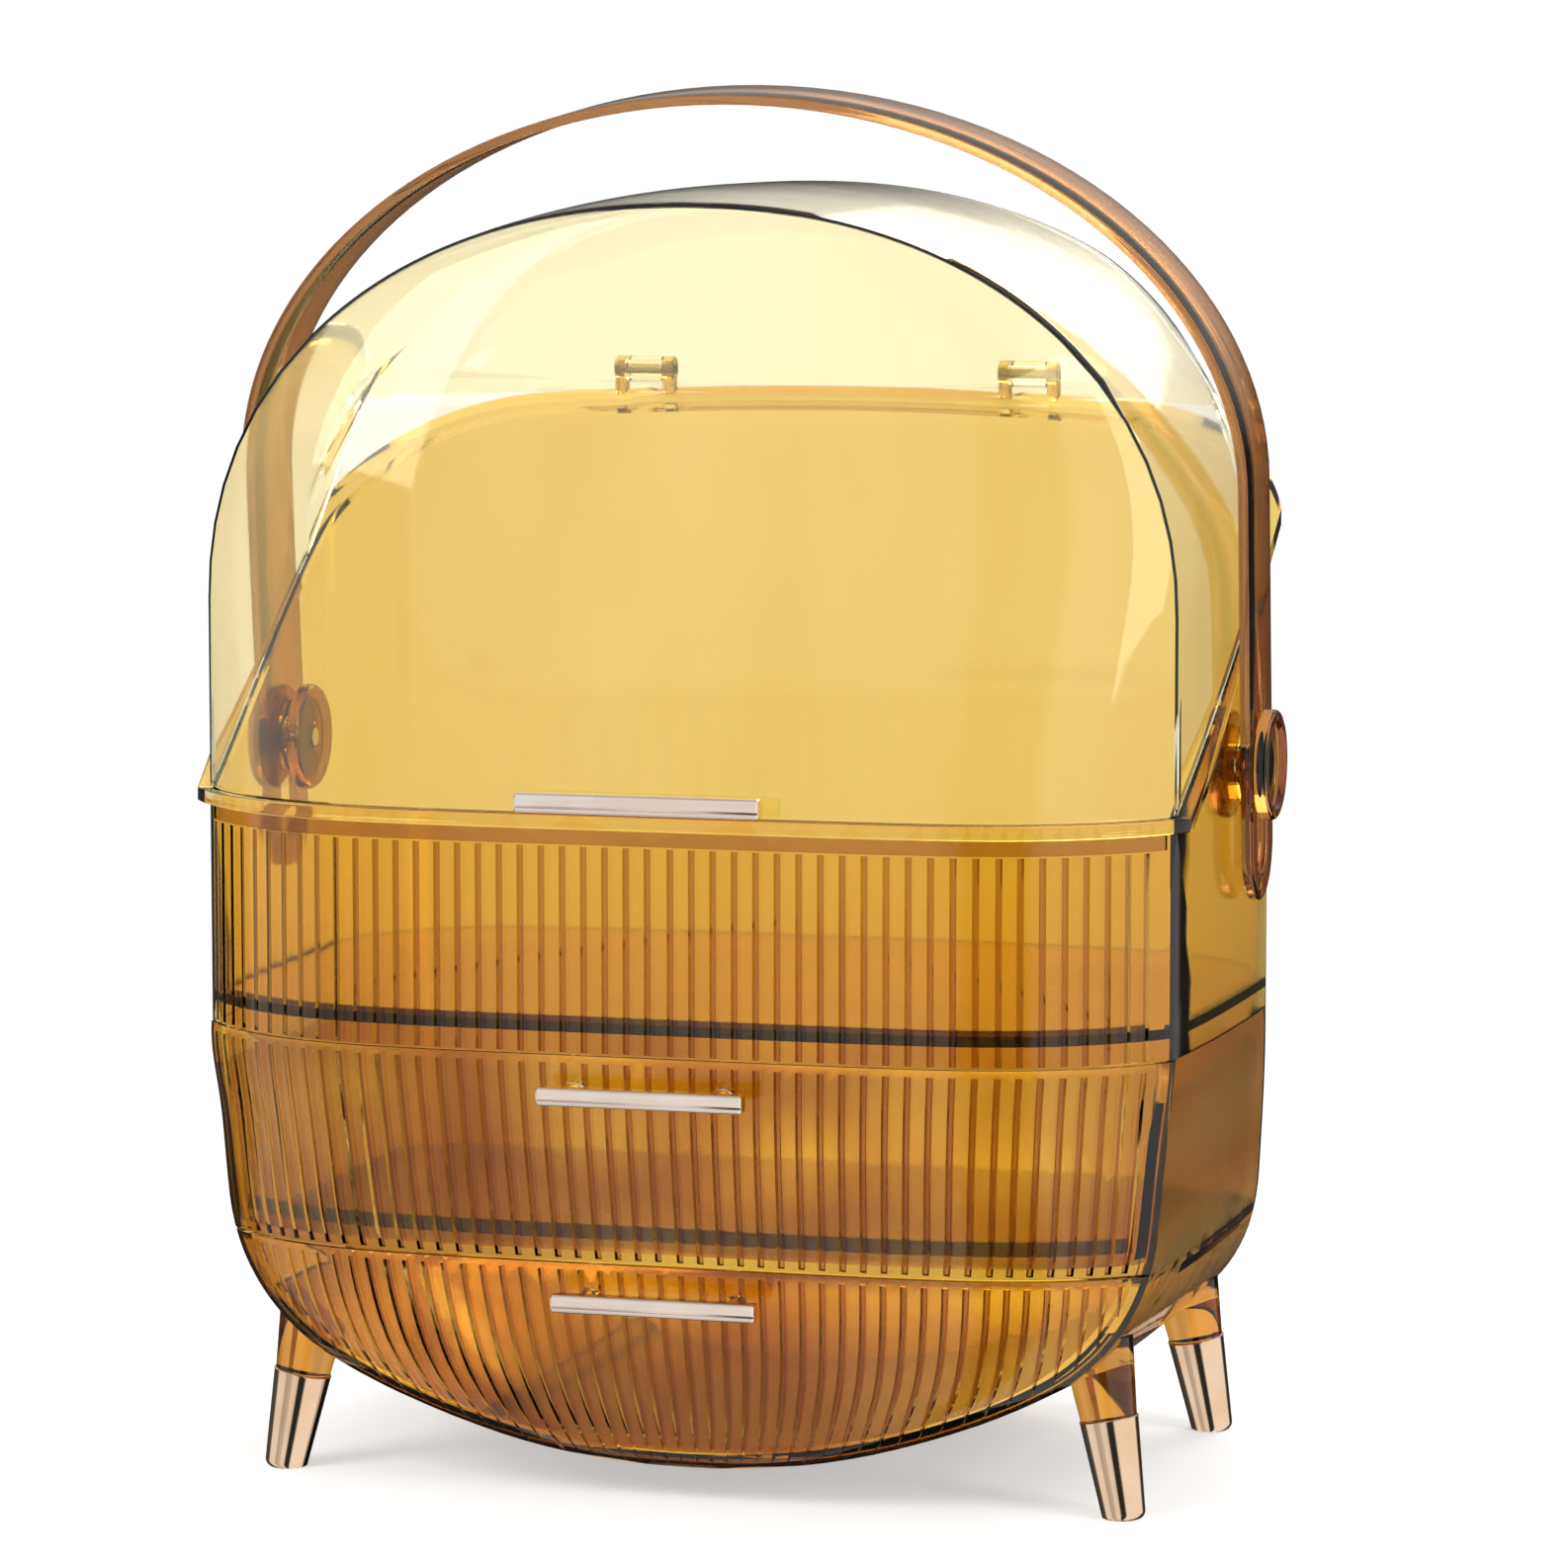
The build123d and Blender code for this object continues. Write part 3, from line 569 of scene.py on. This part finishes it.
def floor_shade_strip(name, body, low_z, height, inset):
    """A dark strip along the inside of a front at the height of its floor, painted shade for the dark line
    seen at the floor's edge.
    """
    half = min(half_width(low_z), half_width(low_z + height)) - inset
    depth = front_bow * low_share(low_z) - inset
    vertices = []
    for share in [sin(radians(90 * step / 36)) * 0.97 for step in range(-36, 37)]:
        y = mouth_y - depth * (1 - abs(share) ** bow_power)
        for back, rise in ((0, 0), (0, height), (1.6, height), (1.6, 0)):
            vertices.append((share * half, y + back, low_z + rise))
    return new_piece(name, vertices, strip_faces(len(vertices)), body, "amber_plastic", floor_edge_painted_shade)


floor_shade_strip("tub_floor_shade_strip", "case_body", 141.8, 4.6, 3.1)
floor_shade_strip("upper_drawer_floor_shade_strip", "top_drawer", 80.6, 4.2, 3.6)


def side_floor_shade_strip(name, side, low_z, height, inset):
    """A dark strip along the inside of the tub's side at the height of its floor, painted shade for the dark
    line seen at the floor's edge.
    """
    vertices = []
    for step in range(13):
        y = mouth_y + 2 + (pivot_y + 30 - mouth_y) * step / 12
        x = side * (half_width(low_z, grow_at(y)) - inset)
        for inward, rise in ((0, 0), (0, height), (1.6, height), (1.6, 0)):
            vertices.append((x - side * inward, y, low_z + rise))
    return new_piece(name, vertices, strip_faces(len(vertices)), "case_body", "amber_plastic", floor_edge_painted_shade)


for side, side_name in ((1, "right"), (-1, "left")):
    side_floor_shade_strip(f"tub_side_shade_strip_{side_name}", side, 141.8, 3.6, 3.1)


# Cover: one clear shell, bowed at the front and rounded at the back

cover_split_z = 338.0
cover_side_rows = 12
cover_top_rows = 26
cover_depth_rows = 26
cover_round_rows = 8
cover_front_columns = 48
cover_round_side = 62.0
cover_round_top = 24.0
cover_wall = 1.5


def cover_outline(y, grow):
    """Points of the cover's cross-section at depth y, from the right rim over the top to the left rim."""
    start_z = rim_z(y) + rim_gap
    side = []
    for row in range(cover_side_rows):
        z = start_z + (cover_split_z - start_z) * row / cover_side_rows
        side.append((half_width(z, grow), z))
    rise = (cover_split_z - arch_base_z) / (arch_height + grow)
    angle = atan2(rise ** (arch_power / 2), (1 - rise ** arch_power) ** 0.5)
    arch = []
    for row in range(cover_top_rows + 1):
        turn = angle + (pi / 2 - angle) * row / cover_top_rows
        arch.append(((body_half + grow) * max(cos(turn), 0) ** (2 / arch_power),
                     arch_base_z + (arch_height + grow) * sin(turn) ** (2 / arch_power)))
    right = side + arch
    return right + [(-x, z) for x, z in right[-2::-1]]


def rear_plan_y(x):
    """Depth of the crowned back at x."""
    return rear_y - x ** 2 / (2 * rear_crown_radius)


def top_depth(z):
    """How far the cover's front stands ahead of the mouth at height z."""
    share = min(max((z - rim_front_z) / (arch_top_z - rim_front_z), 0), 1)
    return front_bow * (1 - share ** top_bow_powers[0]) ** (1 / top_bow_powers[1])


arch_top_z = arch_base_z + arch_height


def cover_surface():
    """Vertices and faces of the cover's outer surface, open at the rim."""
    count = 2 * (cover_side_rows + cover_top_rows) + 1
    centre = Vector((0, rear_y, rim_z(rear_y) + rim_gap))
    columns = []
    full = cover_outline(rear_y, swell)
    rounds = []
    for x, z in full:
        share = min(max((z - 322) / (arch_top_z + swell - 322), 0), 1)
        rounds.append(cover_round_side + (cover_round_top - cover_round_side) * min(share * 1.6, 1))
    for step in range(cover_depth_rows + 1):
        line = []
        for index in range(count):
            end_y = rear_plan_y(full[index][0]) - rounds[index]
            y = mouth_y + (end_y - mouth_y) * step / cover_depth_rows
            x, z = cover_outline(y, grow_at(y))[index]
            line.append(Vector((x, y, z)))
        columns.append(line)
    for step in range(1, cover_round_rows + 1):
        turn = radians(90 * step / cover_round_rows)
        line = []
        for index in range(count):
            x, z = full[index]
            radius = rounds[index]
            inward = Vector((x, 0, z - centre.z))
            reach = inward.length
            place = inward * (1 - radius * (1 - cos(turn)) / reach)
            y = rear_plan_y(x) - radius + radius * sin(turn)
            y = min(y, rear_plan_y(place.x))
            line.append(Vector((place.x, y, max(place.z + centre.z, rim_z(y) + rim_gap))))
        columns.append(line)
    for share in (0.75, 0.5, 0.25):
        line = []
        for index in range(count):
            last = columns[cover_depth_rows + cover_round_rows][index]
            x = last.x * share
            z = centre.z + (last.z - centre.z) * share
            line.append(Vector((x, rear_plan_y(x), z)))
        columns.append(line)
    vertices = [v for line in columns for v in line]
    faces = []
    for step in range(len(columns) - 1):
        for index in range(count - 1):
            a = step * count + index
            faces.append((a, a + 1, a + 1 + count, a + count))
    pole = len(vertices)
    vertices.append(centre.copy())
    last = (len(columns) - 1) * count
    for index in range(count - 1):
        faces.append((last + index, last + index + 1, pole))
    half_count = count // 2
    rows = []
    for index in range(half_count):
        x, y, z = vertices[index]
        row = [index]
        for column in range(1, cover_front_columns):
            share = sin(radians(90 * (1 - 2 * column / cover_front_columns)))
            across = share * x
            row.append(len(vertices))
            vertices.append(Vector((across, mouth_y - top_depth(z) * (1 - abs(share) ** bow_power), z)))
        row.append(count - 1 - index)
        rows.append(row)
    for above, below in zip(rows, rows[1:]):
        for column in range(cover_front_columns):
            faces.append((above[column], above[column + 1], below[column + 1], below[column]))
    for column in range(cover_front_columns):
        faces.append((rows[-1][column], rows[-1][column + 1], half_count))
    return vertices, faces


cover_points, cover_faces = cover_surface()
cover = new_piece("clear_cover", cover_points, cover_faces, "lid", "clear_plastic", pale_cover)
apply_modifier(cover, "SOLIDIFY", thickness=cover_wall * MM, offset=-1.0, use_even_offset=True)
# The bevelled edges take the cover's painted shade
cover.data.materials.append(cover_edge_painted_shade)
apply_modifier(cover, "BEVEL", width=0.5 * MM, segments=2, limit_method="ANGLE",
               angle_limit=radians(40), material=1)
finish_mesh(cover)
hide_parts("cover")


# Pulls: a slim bar with a line in its lower third and closed ends, with two posts on the drawers' pulls

def bar_mesh(length, height, depth, groove_share, round_edge):
    """Cross-section of a pull, taken along its length with narrowed ends."""
    section = []
    for corner_y, corner_z, first in ((1, 1, 0), (-1, 1, 90), (-1, -1, 180), (1, -1, 270)):
        for step in range(5):
            turn = radians(first + 90 * step / 4)
            section.append((corner_y * (depth / 2 - round_edge) + round_edge * cos(turn),
                            corner_z * (height / 2 - round_edge) + round_edge * sin(turn)))
    groove_z = -height / 2 + height * groove_share
    face = [(-depth / 2, groove_z + 0.35), (-depth / 2 + 0.45, groove_z + 0.2),
            (-depth / 2 + 0.45, groove_z - 0.2), (-depth / 2, groove_z - 0.35)]
    section = section[:10] + face + section[10:]
    stations = ((-0.5, 0.86), (-0.5, 1.0, 0.5), (0.5, 1.0, -0.5), (0.5, 0.86))
    rings = []
    for station in stations:
        x = station[0] * length + (station[2] if len(station) > 2 else 0)
        rings.append([(x, y * station[1], z * station[1]) for y, z in section])
    vertices = [v for ring in rings for v in ring]
    count = len(section)
    faces = []
    for ring in range(len(rings) - 1):
        for index in range(count):
            a = ring * count + index
            b = ring * count + (index + 1) % count
            faces.append((a, b, b + count, a + count))
    faces.append(tuple(range(count))[::-1])
    faces.append(tuple(range((len(rings) - 1) * count, len(rings) * count)))
    return vertices, faces


def lathe(profile, steps=64):
    """Vertices and faces of a profile of (radius, height) turned about Z."""
    vertices, faces = [], []
    for radius, height in profile:
        for step in range(steps):
            turn = 2 * pi * step / steps
            vertices.append((radius * cos(turn), radius * sin(turn), height))
    for ring in range(len(profile) - 1):
        for step in range(steps):
            a = ring * steps + step
            b = ring * steps + (step + 1) % steps
            faces.append((a, b, b + steps, a + steps))
    return vertices, faces


def joined(parts):
    """Several point and face lists as one."""
    vertices, faces = [], []
    for points, loops in parts:
        start = len(vertices)
        vertices += list(points)
        faces += [tuple(start + index for index in loop) for loop in loops]
    return vertices, faces


def turned(part, axis, origin):
    """A turned part set with its height along an axis from an origin."""
    points, faces = part
    rotation = Vector((0, 0, 1)).rotation_difference(Vector(axis))
    return [tuple(rotation @ Vector(p) + Vector(origin)) for p in points], faces


def pull_piece(name, node, body, length, height, depth, posts):
    """A pull in place of its frame node, with posts back to the front."""
    low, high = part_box(node)
    centre_z = (low.z + high.z) / 2 / MM
    bar_y = low.y / MM + depth / 2
    points, faces = bar_mesh(length, height, depth, 0.32, 1.1)
    parts = [([(x, y + bar_y, z + centre_z) for x, y, z in points], faces)]
    reach = high.y / MM - bar_y
    for x in posts:
        post = lathe([(0.01, 0), (2.6, 0), (2.6, reach - 1.0), (3.2, reach - 0.3), (3.2, reach)], 32)
        parts.append(turned(post, (0, 1, 0), (x, bar_y, centre_z)))
    vertices, loops = joined(parts)
    piece = new_piece(name, vertices, loops, body, "rose_gold", pull_metal)
    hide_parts(node)
    return piece


pull_piece("bar_pull_upper", "upper_pull", "top_drawer", 60.6, 5.4, 5.0, (-22, 22))
pull_piece("bar_pull_lower", "lower_pull", "bottom_drawer", 60.6, 5.4, 5.0, (-22, 22))
pull_piece("bar_pull_cover", "cover_pull", "lid", 71.5, 6.0, 5.0, ())


# The small ledge that carries the cover's pull, and the cover's hinge knuckles

ledge_z = rim_front_z + 3.8
ledge_half = 30.0


def ledge_block():
    """The ledge with rounded free corners."""
    face_y = mouth_y - top_depth(ledge_z)
    plan = [(ledge_half, face_y + 1.6), (ledge_half, face_y - 4.0)]
    for step in range(1, 6):
        turn = radians(90 * step / 5)
        plan.append((ledge_half - 3 + 3 * cos(turn), face_y - 4.0 - 3 * sin(turn)))
    plan += [(-x, y) for x, y in plan[::-1]]
    count = len(plan)
    vertices = [(x, y, ledge_z + rise) for rise in (-1.2, 1.2) for x, y in plan]
    faces = [tuple(range(count)), tuple(range(count, 2 * count))]
    faces += [(i, (i + 1) % count, (i + 1) % count + count, i + count) for i in range(count)]
    return vertices, faces


ledge_points, ledge_faces = ledge_block()
ledge = new_piece("cover_ledge", ledge_points, ledge_faces, "lid", "clear_plastic", pale_cover)
apply_modifier(ledge, "BEVEL", width=0.4 * MM, segments=2, limit_method="ANGLE", angle_limit=radians(50))

hinge_y = rear_y + 3.2
hinge_z = rim_z(rear_y) + 7.0
for side, side_name in ((1, "right"), (-1, "left")):
    ring = lathe([(1.75, -6), (3.6, -6), (4.0, -5.6), (4.0, 5.6), (3.6, 6), (1.75, 6), (1.75, -6)], 40)
    barrel = turned(ring, (1, 0, 0), (side * 62, hinge_y, hinge_z))
    new_piece(f"cover_knuckle_{side_name}", *barrel, "lid", "clear_plastic", pale_cover)


# Handle strap: the frame's shape with softened edges

strap = copy_node("handle_strap", "handle_band")
strap_work = bmesh.new()
strap_work.from_mesh(strap.data)
bmesh.ops.dissolve_limit(strap_work, angle_limit=radians(0.4), verts=strap_work.verts, edges=strap_work.edges)
strap_work.to_mesh(strap.data)
strap_work.free()
apply_modifier(strap, "BEVEL", width=0.55 * MM, segments=3, limit_method="ANGLE", angle_limit=radians(50))
finish_mesh(strap)
strap.data.materials.append(brown_handle)
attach(strap, "handle")
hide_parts("handle_strap")


# Pivot caps: a rounded ring round a dished face outside, a plain rounded cap inside

def arc_profile(centre_r, centre_h, radius, first, last, steps=6):
    """Points of an arc in a turned profile."""
    points = []
    for step in range(steps + 1):
        turn = radians(first + (last - first) * step / steps)
        points.append((centre_r + radius * cos(turn), centre_h + radius * sin(turn)))
    return points


outer_profile = [(0.01, 0.0), (15.4, 0.0), (16.2, 0.6)] + arc_profile(14.9, 3.2, 1.3, 0, 90) + \
    [(13.6, 4.5)] + arc_profile(13.4, 3.9, 0.6, 90, 170, 4) + [(12.1, 3.0), (6.0, 2.7), (0.01, 2.6)]
inner_profile = [(0.01, 0.0), (15.4, 0.0), (16.0, 0.6)] + arc_profile(14.4, 2.6, 1.6, 0, 90) + \
    [(9.0, 4.1), (4.4, 4.0), (4.0, 3.2), (0.01, 3.2)]
for side, side_name in ((1, "right"), (-1, "left")):
    low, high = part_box(f"outer_cap_{side_name}")
    base_x = (low.x if side > 0 else high.x) / MM
    cap = turned(lathe(outer_profile, 96), (side, 0, 0), (base_x, pivot_y, pivot_z))
    piece = new_piece(f"cap_outside_{side_name}", *cap, "pivots", "brown_plastic", brown_cap)
    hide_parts(f"outer_cap_{side_name}")
    low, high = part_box(f"inner_cap_{side_name}")
    base_x = (high.x if side > 0 else low.x) / MM
    cap = turned(lathe(inner_profile, 96), (-side, 0, 0), (base_x, pivot_y, pivot_z))
    piece = new_piece(f"cap_inside_{side_name}", *cap, "pivots", "brown_plastic", brown_cap)
    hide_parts(f"inner_cap_{side_name}")


# Leg tips: polished cones with a rounded end, flat where they stand

tip_height = 29.6
splay_x = 5.3
splay_y = 1.8
foot_flat = 0.9
corners = {"front_left": (-1, -1), "front_right": (1, -1), "rear_left": (-1, 1), "rear_right": (1, 1)}
for corner, (side, end) in corners.items():
    foot = Vector((side * foot_x, pivot_y + end * foot_y, -foot_flat))
    up = Vector((-side * splay_x, -end * splay_y, tip_height)).normalized()
    reach = tip_height / up.z
    profile = [(0.01, 0.0), (3.4, 0.0)] + arc_profile(4.0, 2.4, 2.35, -80, -6, 7) + \
        [(8.55, reach - 0.5)] + arc_profile(8.25, reach - 0.5, 0.4, 0, 90, 3) + \
        [(6.2, reach - 0.1), (5.6, reach - 0.6), (5.6, reach - 6), (0.01, reach - 6)]
    points, faces = turned(lathe(profile, 72), up, foot)
    points = [(x, y, max(z, 0.0)) for x, y, z in points]
    piece = new_piece(f"tip_{corner}", points, faces, "case_body", "rose_gold", rose_gold)
    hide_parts(f"leg_tip_{corner}")


# Frame nodes that keep their own shape

kept_materials = {
    "case_shell": brown_case,
    "drawer_shelf": brown_case,
    "hinge_pin_left": plain_steel,
    "hinge_pin_right": plain_steel,
    "upper_pull_screws": plain_steel,
    "lower_pull_screws": plain_steel,
    "pivot_screw_left": plain_steel,
    "pivot_screw_right": plain_steel,
    "pivot_hub_left": brown_cap,
    "pivot_hub_right": brown_cap,
}
kept_materials.update({f"leg_{corner}": amber_leg for corner in corners})
for node, material in kept_materials.items():
    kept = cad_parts[node]
    kept.data.materials.clear()
    kept.data.materials.append(material)


# Studio: pale floor, soft light and white surroundings

def shown_strength(tree, plain, shown):
    """A strength that camera, glossy and transmission rays see brighter than the object is lit."""
    path = tree.nodes.new("ShaderNodeLightPath")
    first = tree.nodes.new("ShaderNodeMath")
    first.operation = "MAXIMUM"
    second = tree.nodes.new("ShaderNodeMath")
    second.operation = "MAXIMUM"
    tree.links.new(path.outputs["Is Camera Ray"], first.inputs[0])
    tree.links.new(path.outputs["Is Glossy Ray"], first.inputs[1])
    tree.links.new(first.outputs[0], second.inputs[0])
    tree.links.new(path.outputs["Is Transmission Ray"], second.inputs[1])
    return mapped(tree, second.outputs[0], 0.0, 1.0, plain, shown)


def surroundings_level(tree):
    """Bright and dark upright panels round the object, for mirrored rays, with a bright ceiling."""
    place = tree.nodes.new("ShaderNodeTexCoord")
    split = tree.nodes.new("ShaderNodeSeparateXYZ")
    tree.links.new(place.outputs["Generated"], split.inputs["Vector"])
    behind = tree.nodes.new("ShaderNodeMath")
    behind.operation = "MULTIPLY"
    tree.links.new(split.outputs["Y"], behind.inputs[0])
    behind.inputs[1].default_value = -1.0
    turn = tree.nodes.new("ShaderNodeMath")
    turn.operation = "ARCTAN2"
    tree.links.new(split.outputs["X"], turn.inputs[0])
    tree.links.new(behind.outputs[0], turn.inputs[1])
    round_share = mapped(tree, turn.outputs[0], -pi, pi, 0.0, 1.0)
    ramp = tree.nodes.new("ShaderNodeValToRGB")
    ramp.color_ramp.interpolation = "EASE"
    while len(ramp.color_ramp.elements) < len(panel_levels):
        ramp.color_ramp.elements.new(0.5)
    for stop, (angle, level) in zip(ramp.color_ramp.elements, panel_levels):
        stop.position = (angle + 180) / 360
        stop.color = (level, level, level, 1)
    tree.links.new(round_share, ramp.inputs["Fac"])
    ceiling_low = mapped(tree, split.outputs["Y"], -0.2, 0.4, 0.55, 0.02)
    ceiling_high = mapped(tree, split.outputs["Y"], -0.2, 0.4, 0.85, 0.25)
    ceiling = mapped(tree, split.outputs["Z"], ceiling_low, ceiling_high, 0.0, 1.0)
    mix = tree.nodes.new("ShaderNodeMix")
    tree.links.new(ceiling, mix.inputs["Factor"])
    tree.links.new(ramp.outputs["Color"], mix.inputs["A"])
    mix.inputs["B"].default_value = 0.55
    ground = tree.nodes.new("ShaderNodeMath")
    ground.operation = "MULTIPLY"
    tree.links.new(mix.outputs["Result"], ground.inputs[0])
    low_back = mapped(tree, split.outputs["Y"], 0.3, 0.7, 1.0, 0.12)
    tree.links.new(mapped(tree, split.outputs["Z"], -0.45, -0.24, low_back, 1.0), ground.inputs[1])
    return ground.outputs[0]


# Panel levels by angle in degrees from the front, positive to the right
panel_levels = ((-180, 0.05), (-98, 0.08), (-86, 0.90), (-56, 0.90), (-46, 0.50), (-26, 0.60),
                (-18, 0.90), (-2, 0.85), (6, 0.03), (26, 0.03), (36, 1.0), (128, 1.0),
                (140, 0.06), (152, 0.03), (180, 0.04))

world = bpy.data.worlds.new("studio_surroundings")
bpy.context.scene.world = world
world.use_nodes = True
world_tree = world.node_tree
plain = world_tree.nodes["Background"]
plain.inputs["Color"].default_value = (1.0, 1.0, 1.0, 1)
plain.inputs["Strength"].default_value = 0.6
mirrored = world_tree.nodes.new("ShaderNodeBackground")
mirrored.inputs["Color"].default_value = (1.0, 0.98, 0.95, 1)
world_tree.links.new(surroundings_level(world_tree), mirrored.inputs["Strength"])
white = world_tree.nodes.new("ShaderNodeBackground")
white.inputs["Color"].default_value = (1.0, 1.0, 1.0, 1)
paths = world_tree.nodes.new("ShaderNodeLightPath")
through = world_tree.nodes.new("ShaderNodeBackground")
through.inputs["Color"].default_value = (1.0, 1.0, 1.0, 1)
through.inputs["Strength"].default_value = 1.15
below = plain
for label, shown in (("Is Glossy Ray", mirrored), ("Is Transmission Ray", through), ("Is Camera Ray", white)):
    mix = world_tree.nodes.new("ShaderNodeMixShader")
    world_tree.links.new(paths.outputs[label], mix.inputs["Fac"])
    world_tree.links.new(below.outputs[0], mix.inputs[1])
    world_tree.links.new(shown.outputs[0], mix.inputs[2])
    below = mix
world_tree.links.new(below.outputs[0], world_tree.nodes["World Output"].inputs["Surface"])

floor_mesh = bpy.data.meshes.new("floor")
floor_mesh.from_pydata([(-6, -6, 0), (6, -6, 0), (6, 6, 0), (-6, 6, 0)], [], [(0, 1, 2, 3)])
floor = bpy.data.objects.new("floor", floor_mesh)
bpy.context.scene.collection.objects.link(floor)
floor_material = bpy.data.materials.new("pale_floor")
floor_material.use_nodes = True
floor_tree = floor_material.node_tree
floor_shader = floor_tree.nodes["Principled BSDF"]
floor_shader.inputs["Base Color"].default_value = (0.86, 0.86, 0.85, 1)
floor_shader.inputs["Roughness"].default_value = 0.9
floor_shader.inputs["Emission Color"].default_value = (1, 1, 1, 1)
floor_paths = floor_tree.nodes.new("ShaderNodeLightPath")
seen = mapped(floor_tree, floor_paths.outputs["Is Camera Ray"], 0.0, 1.0, 0.0, 0.45)
seen_through = mapped(floor_tree, floor_paths.outputs["Is Transmission Ray"], 0.0, 1.0, 0.0, 0.65)
floor_glow = floor_tree.nodes.new("ShaderNodeMath")
floor_glow.operation = "ADD"
floor_tree.links.new(seen, floor_glow.inputs[0])
floor_tree.links.new(seen_through, floor_glow.inputs[1])
floor_tree.links.new(floor_glow.outputs[0], floor_shader.inputs["Emission Strength"])
glow = floor_tree.nodes.new("ShaderNodeEmission")
floor_tree.links.new(shown_strength(floor_tree, 0.6, 1.0), glow.inputs["Strength"])
floor_place = floor_tree.nodes.new("ShaderNodeTexCoord")
from_middle = floor_tree.nodes.new("ShaderNodeVectorMath")
from_middle.operation = "LENGTH"
floor_tree.links.new(floor_place.outputs["Object"], from_middle.inputs[0])
floor_mix = floor_tree.nodes.new("ShaderNodeMixShader")
glow_share = mapped(floor_tree, from_middle.outputs["Value"], 0.3, 0.7, 0.0, 1.0)
floor_tree.links.new(glow_share, floor_mix.inputs["Fac"])
floor_tree.links.new(floor_shader.outputs[0], floor_mix.inputs[1])
floor_tree.links.new(glow.outputs[0], floor_mix.inputs[2])
floor_tree.links.new(floor_mix.outputs[0], floor_tree.nodes["Material Output"].inputs["Surface"])
floor_mesh.materials.append(floor_material)
floor.visible_glossy = False


def area_light(name, place, target, size, power, colour=(1.0, 0.98, 0.95)):
    """A soft square lamp that looks at a point."""
    data = bpy.data.lights.new(name, "AREA")
    data.shape = "RECTANGLE"
    data.size, data.size_y = size
    data.energy = power
    data.color = colour
    lamp = bpy.data.objects.new(name, data)
    bpy.context.scene.collection.objects.link(lamp)
    lamp.location = place
    lamp.rotation_euler = (Vector(target) - Vector(place)).to_track_quat("-Z", "Y").to_euler()
    lamp.visible_glossy = False
    return lamp


middle = (0.0, 0.0, 0.2)
area_light("key_softbox", (-1.1, -1.3, 1.3), middle, (0.9, 0.9), 16)
area_light("side_softbox", (1.5, -0.6, 0.8), middle, (0.5, 1.2), 9)
area_light("rear_softbox", (0.3, 1.6, 1.1), middle, (1.4, 0.8), 14)

camera_data = bpy.data.cameras.new("camera")
camera_data.lens = 142.1
camera_data.sensor_width = 36.0
camera_data.clip_end = 50.0
camera = bpy.data.objects.new("camera", camera_data)
bpy.context.scene.collection.objects.link(camera)
camera.location = (0.5050, -1.7579, 0.4069)
camera_target = Vector((0.00834, 0.01503, 0.2018))
camera.rotation_euler = (camera_target - camera.location).to_track_quat("-Z", "Y").to_euler()
bpy.context.scene.camera = camera
bpy.context.scene.view_settings.view_transform = "Standard"
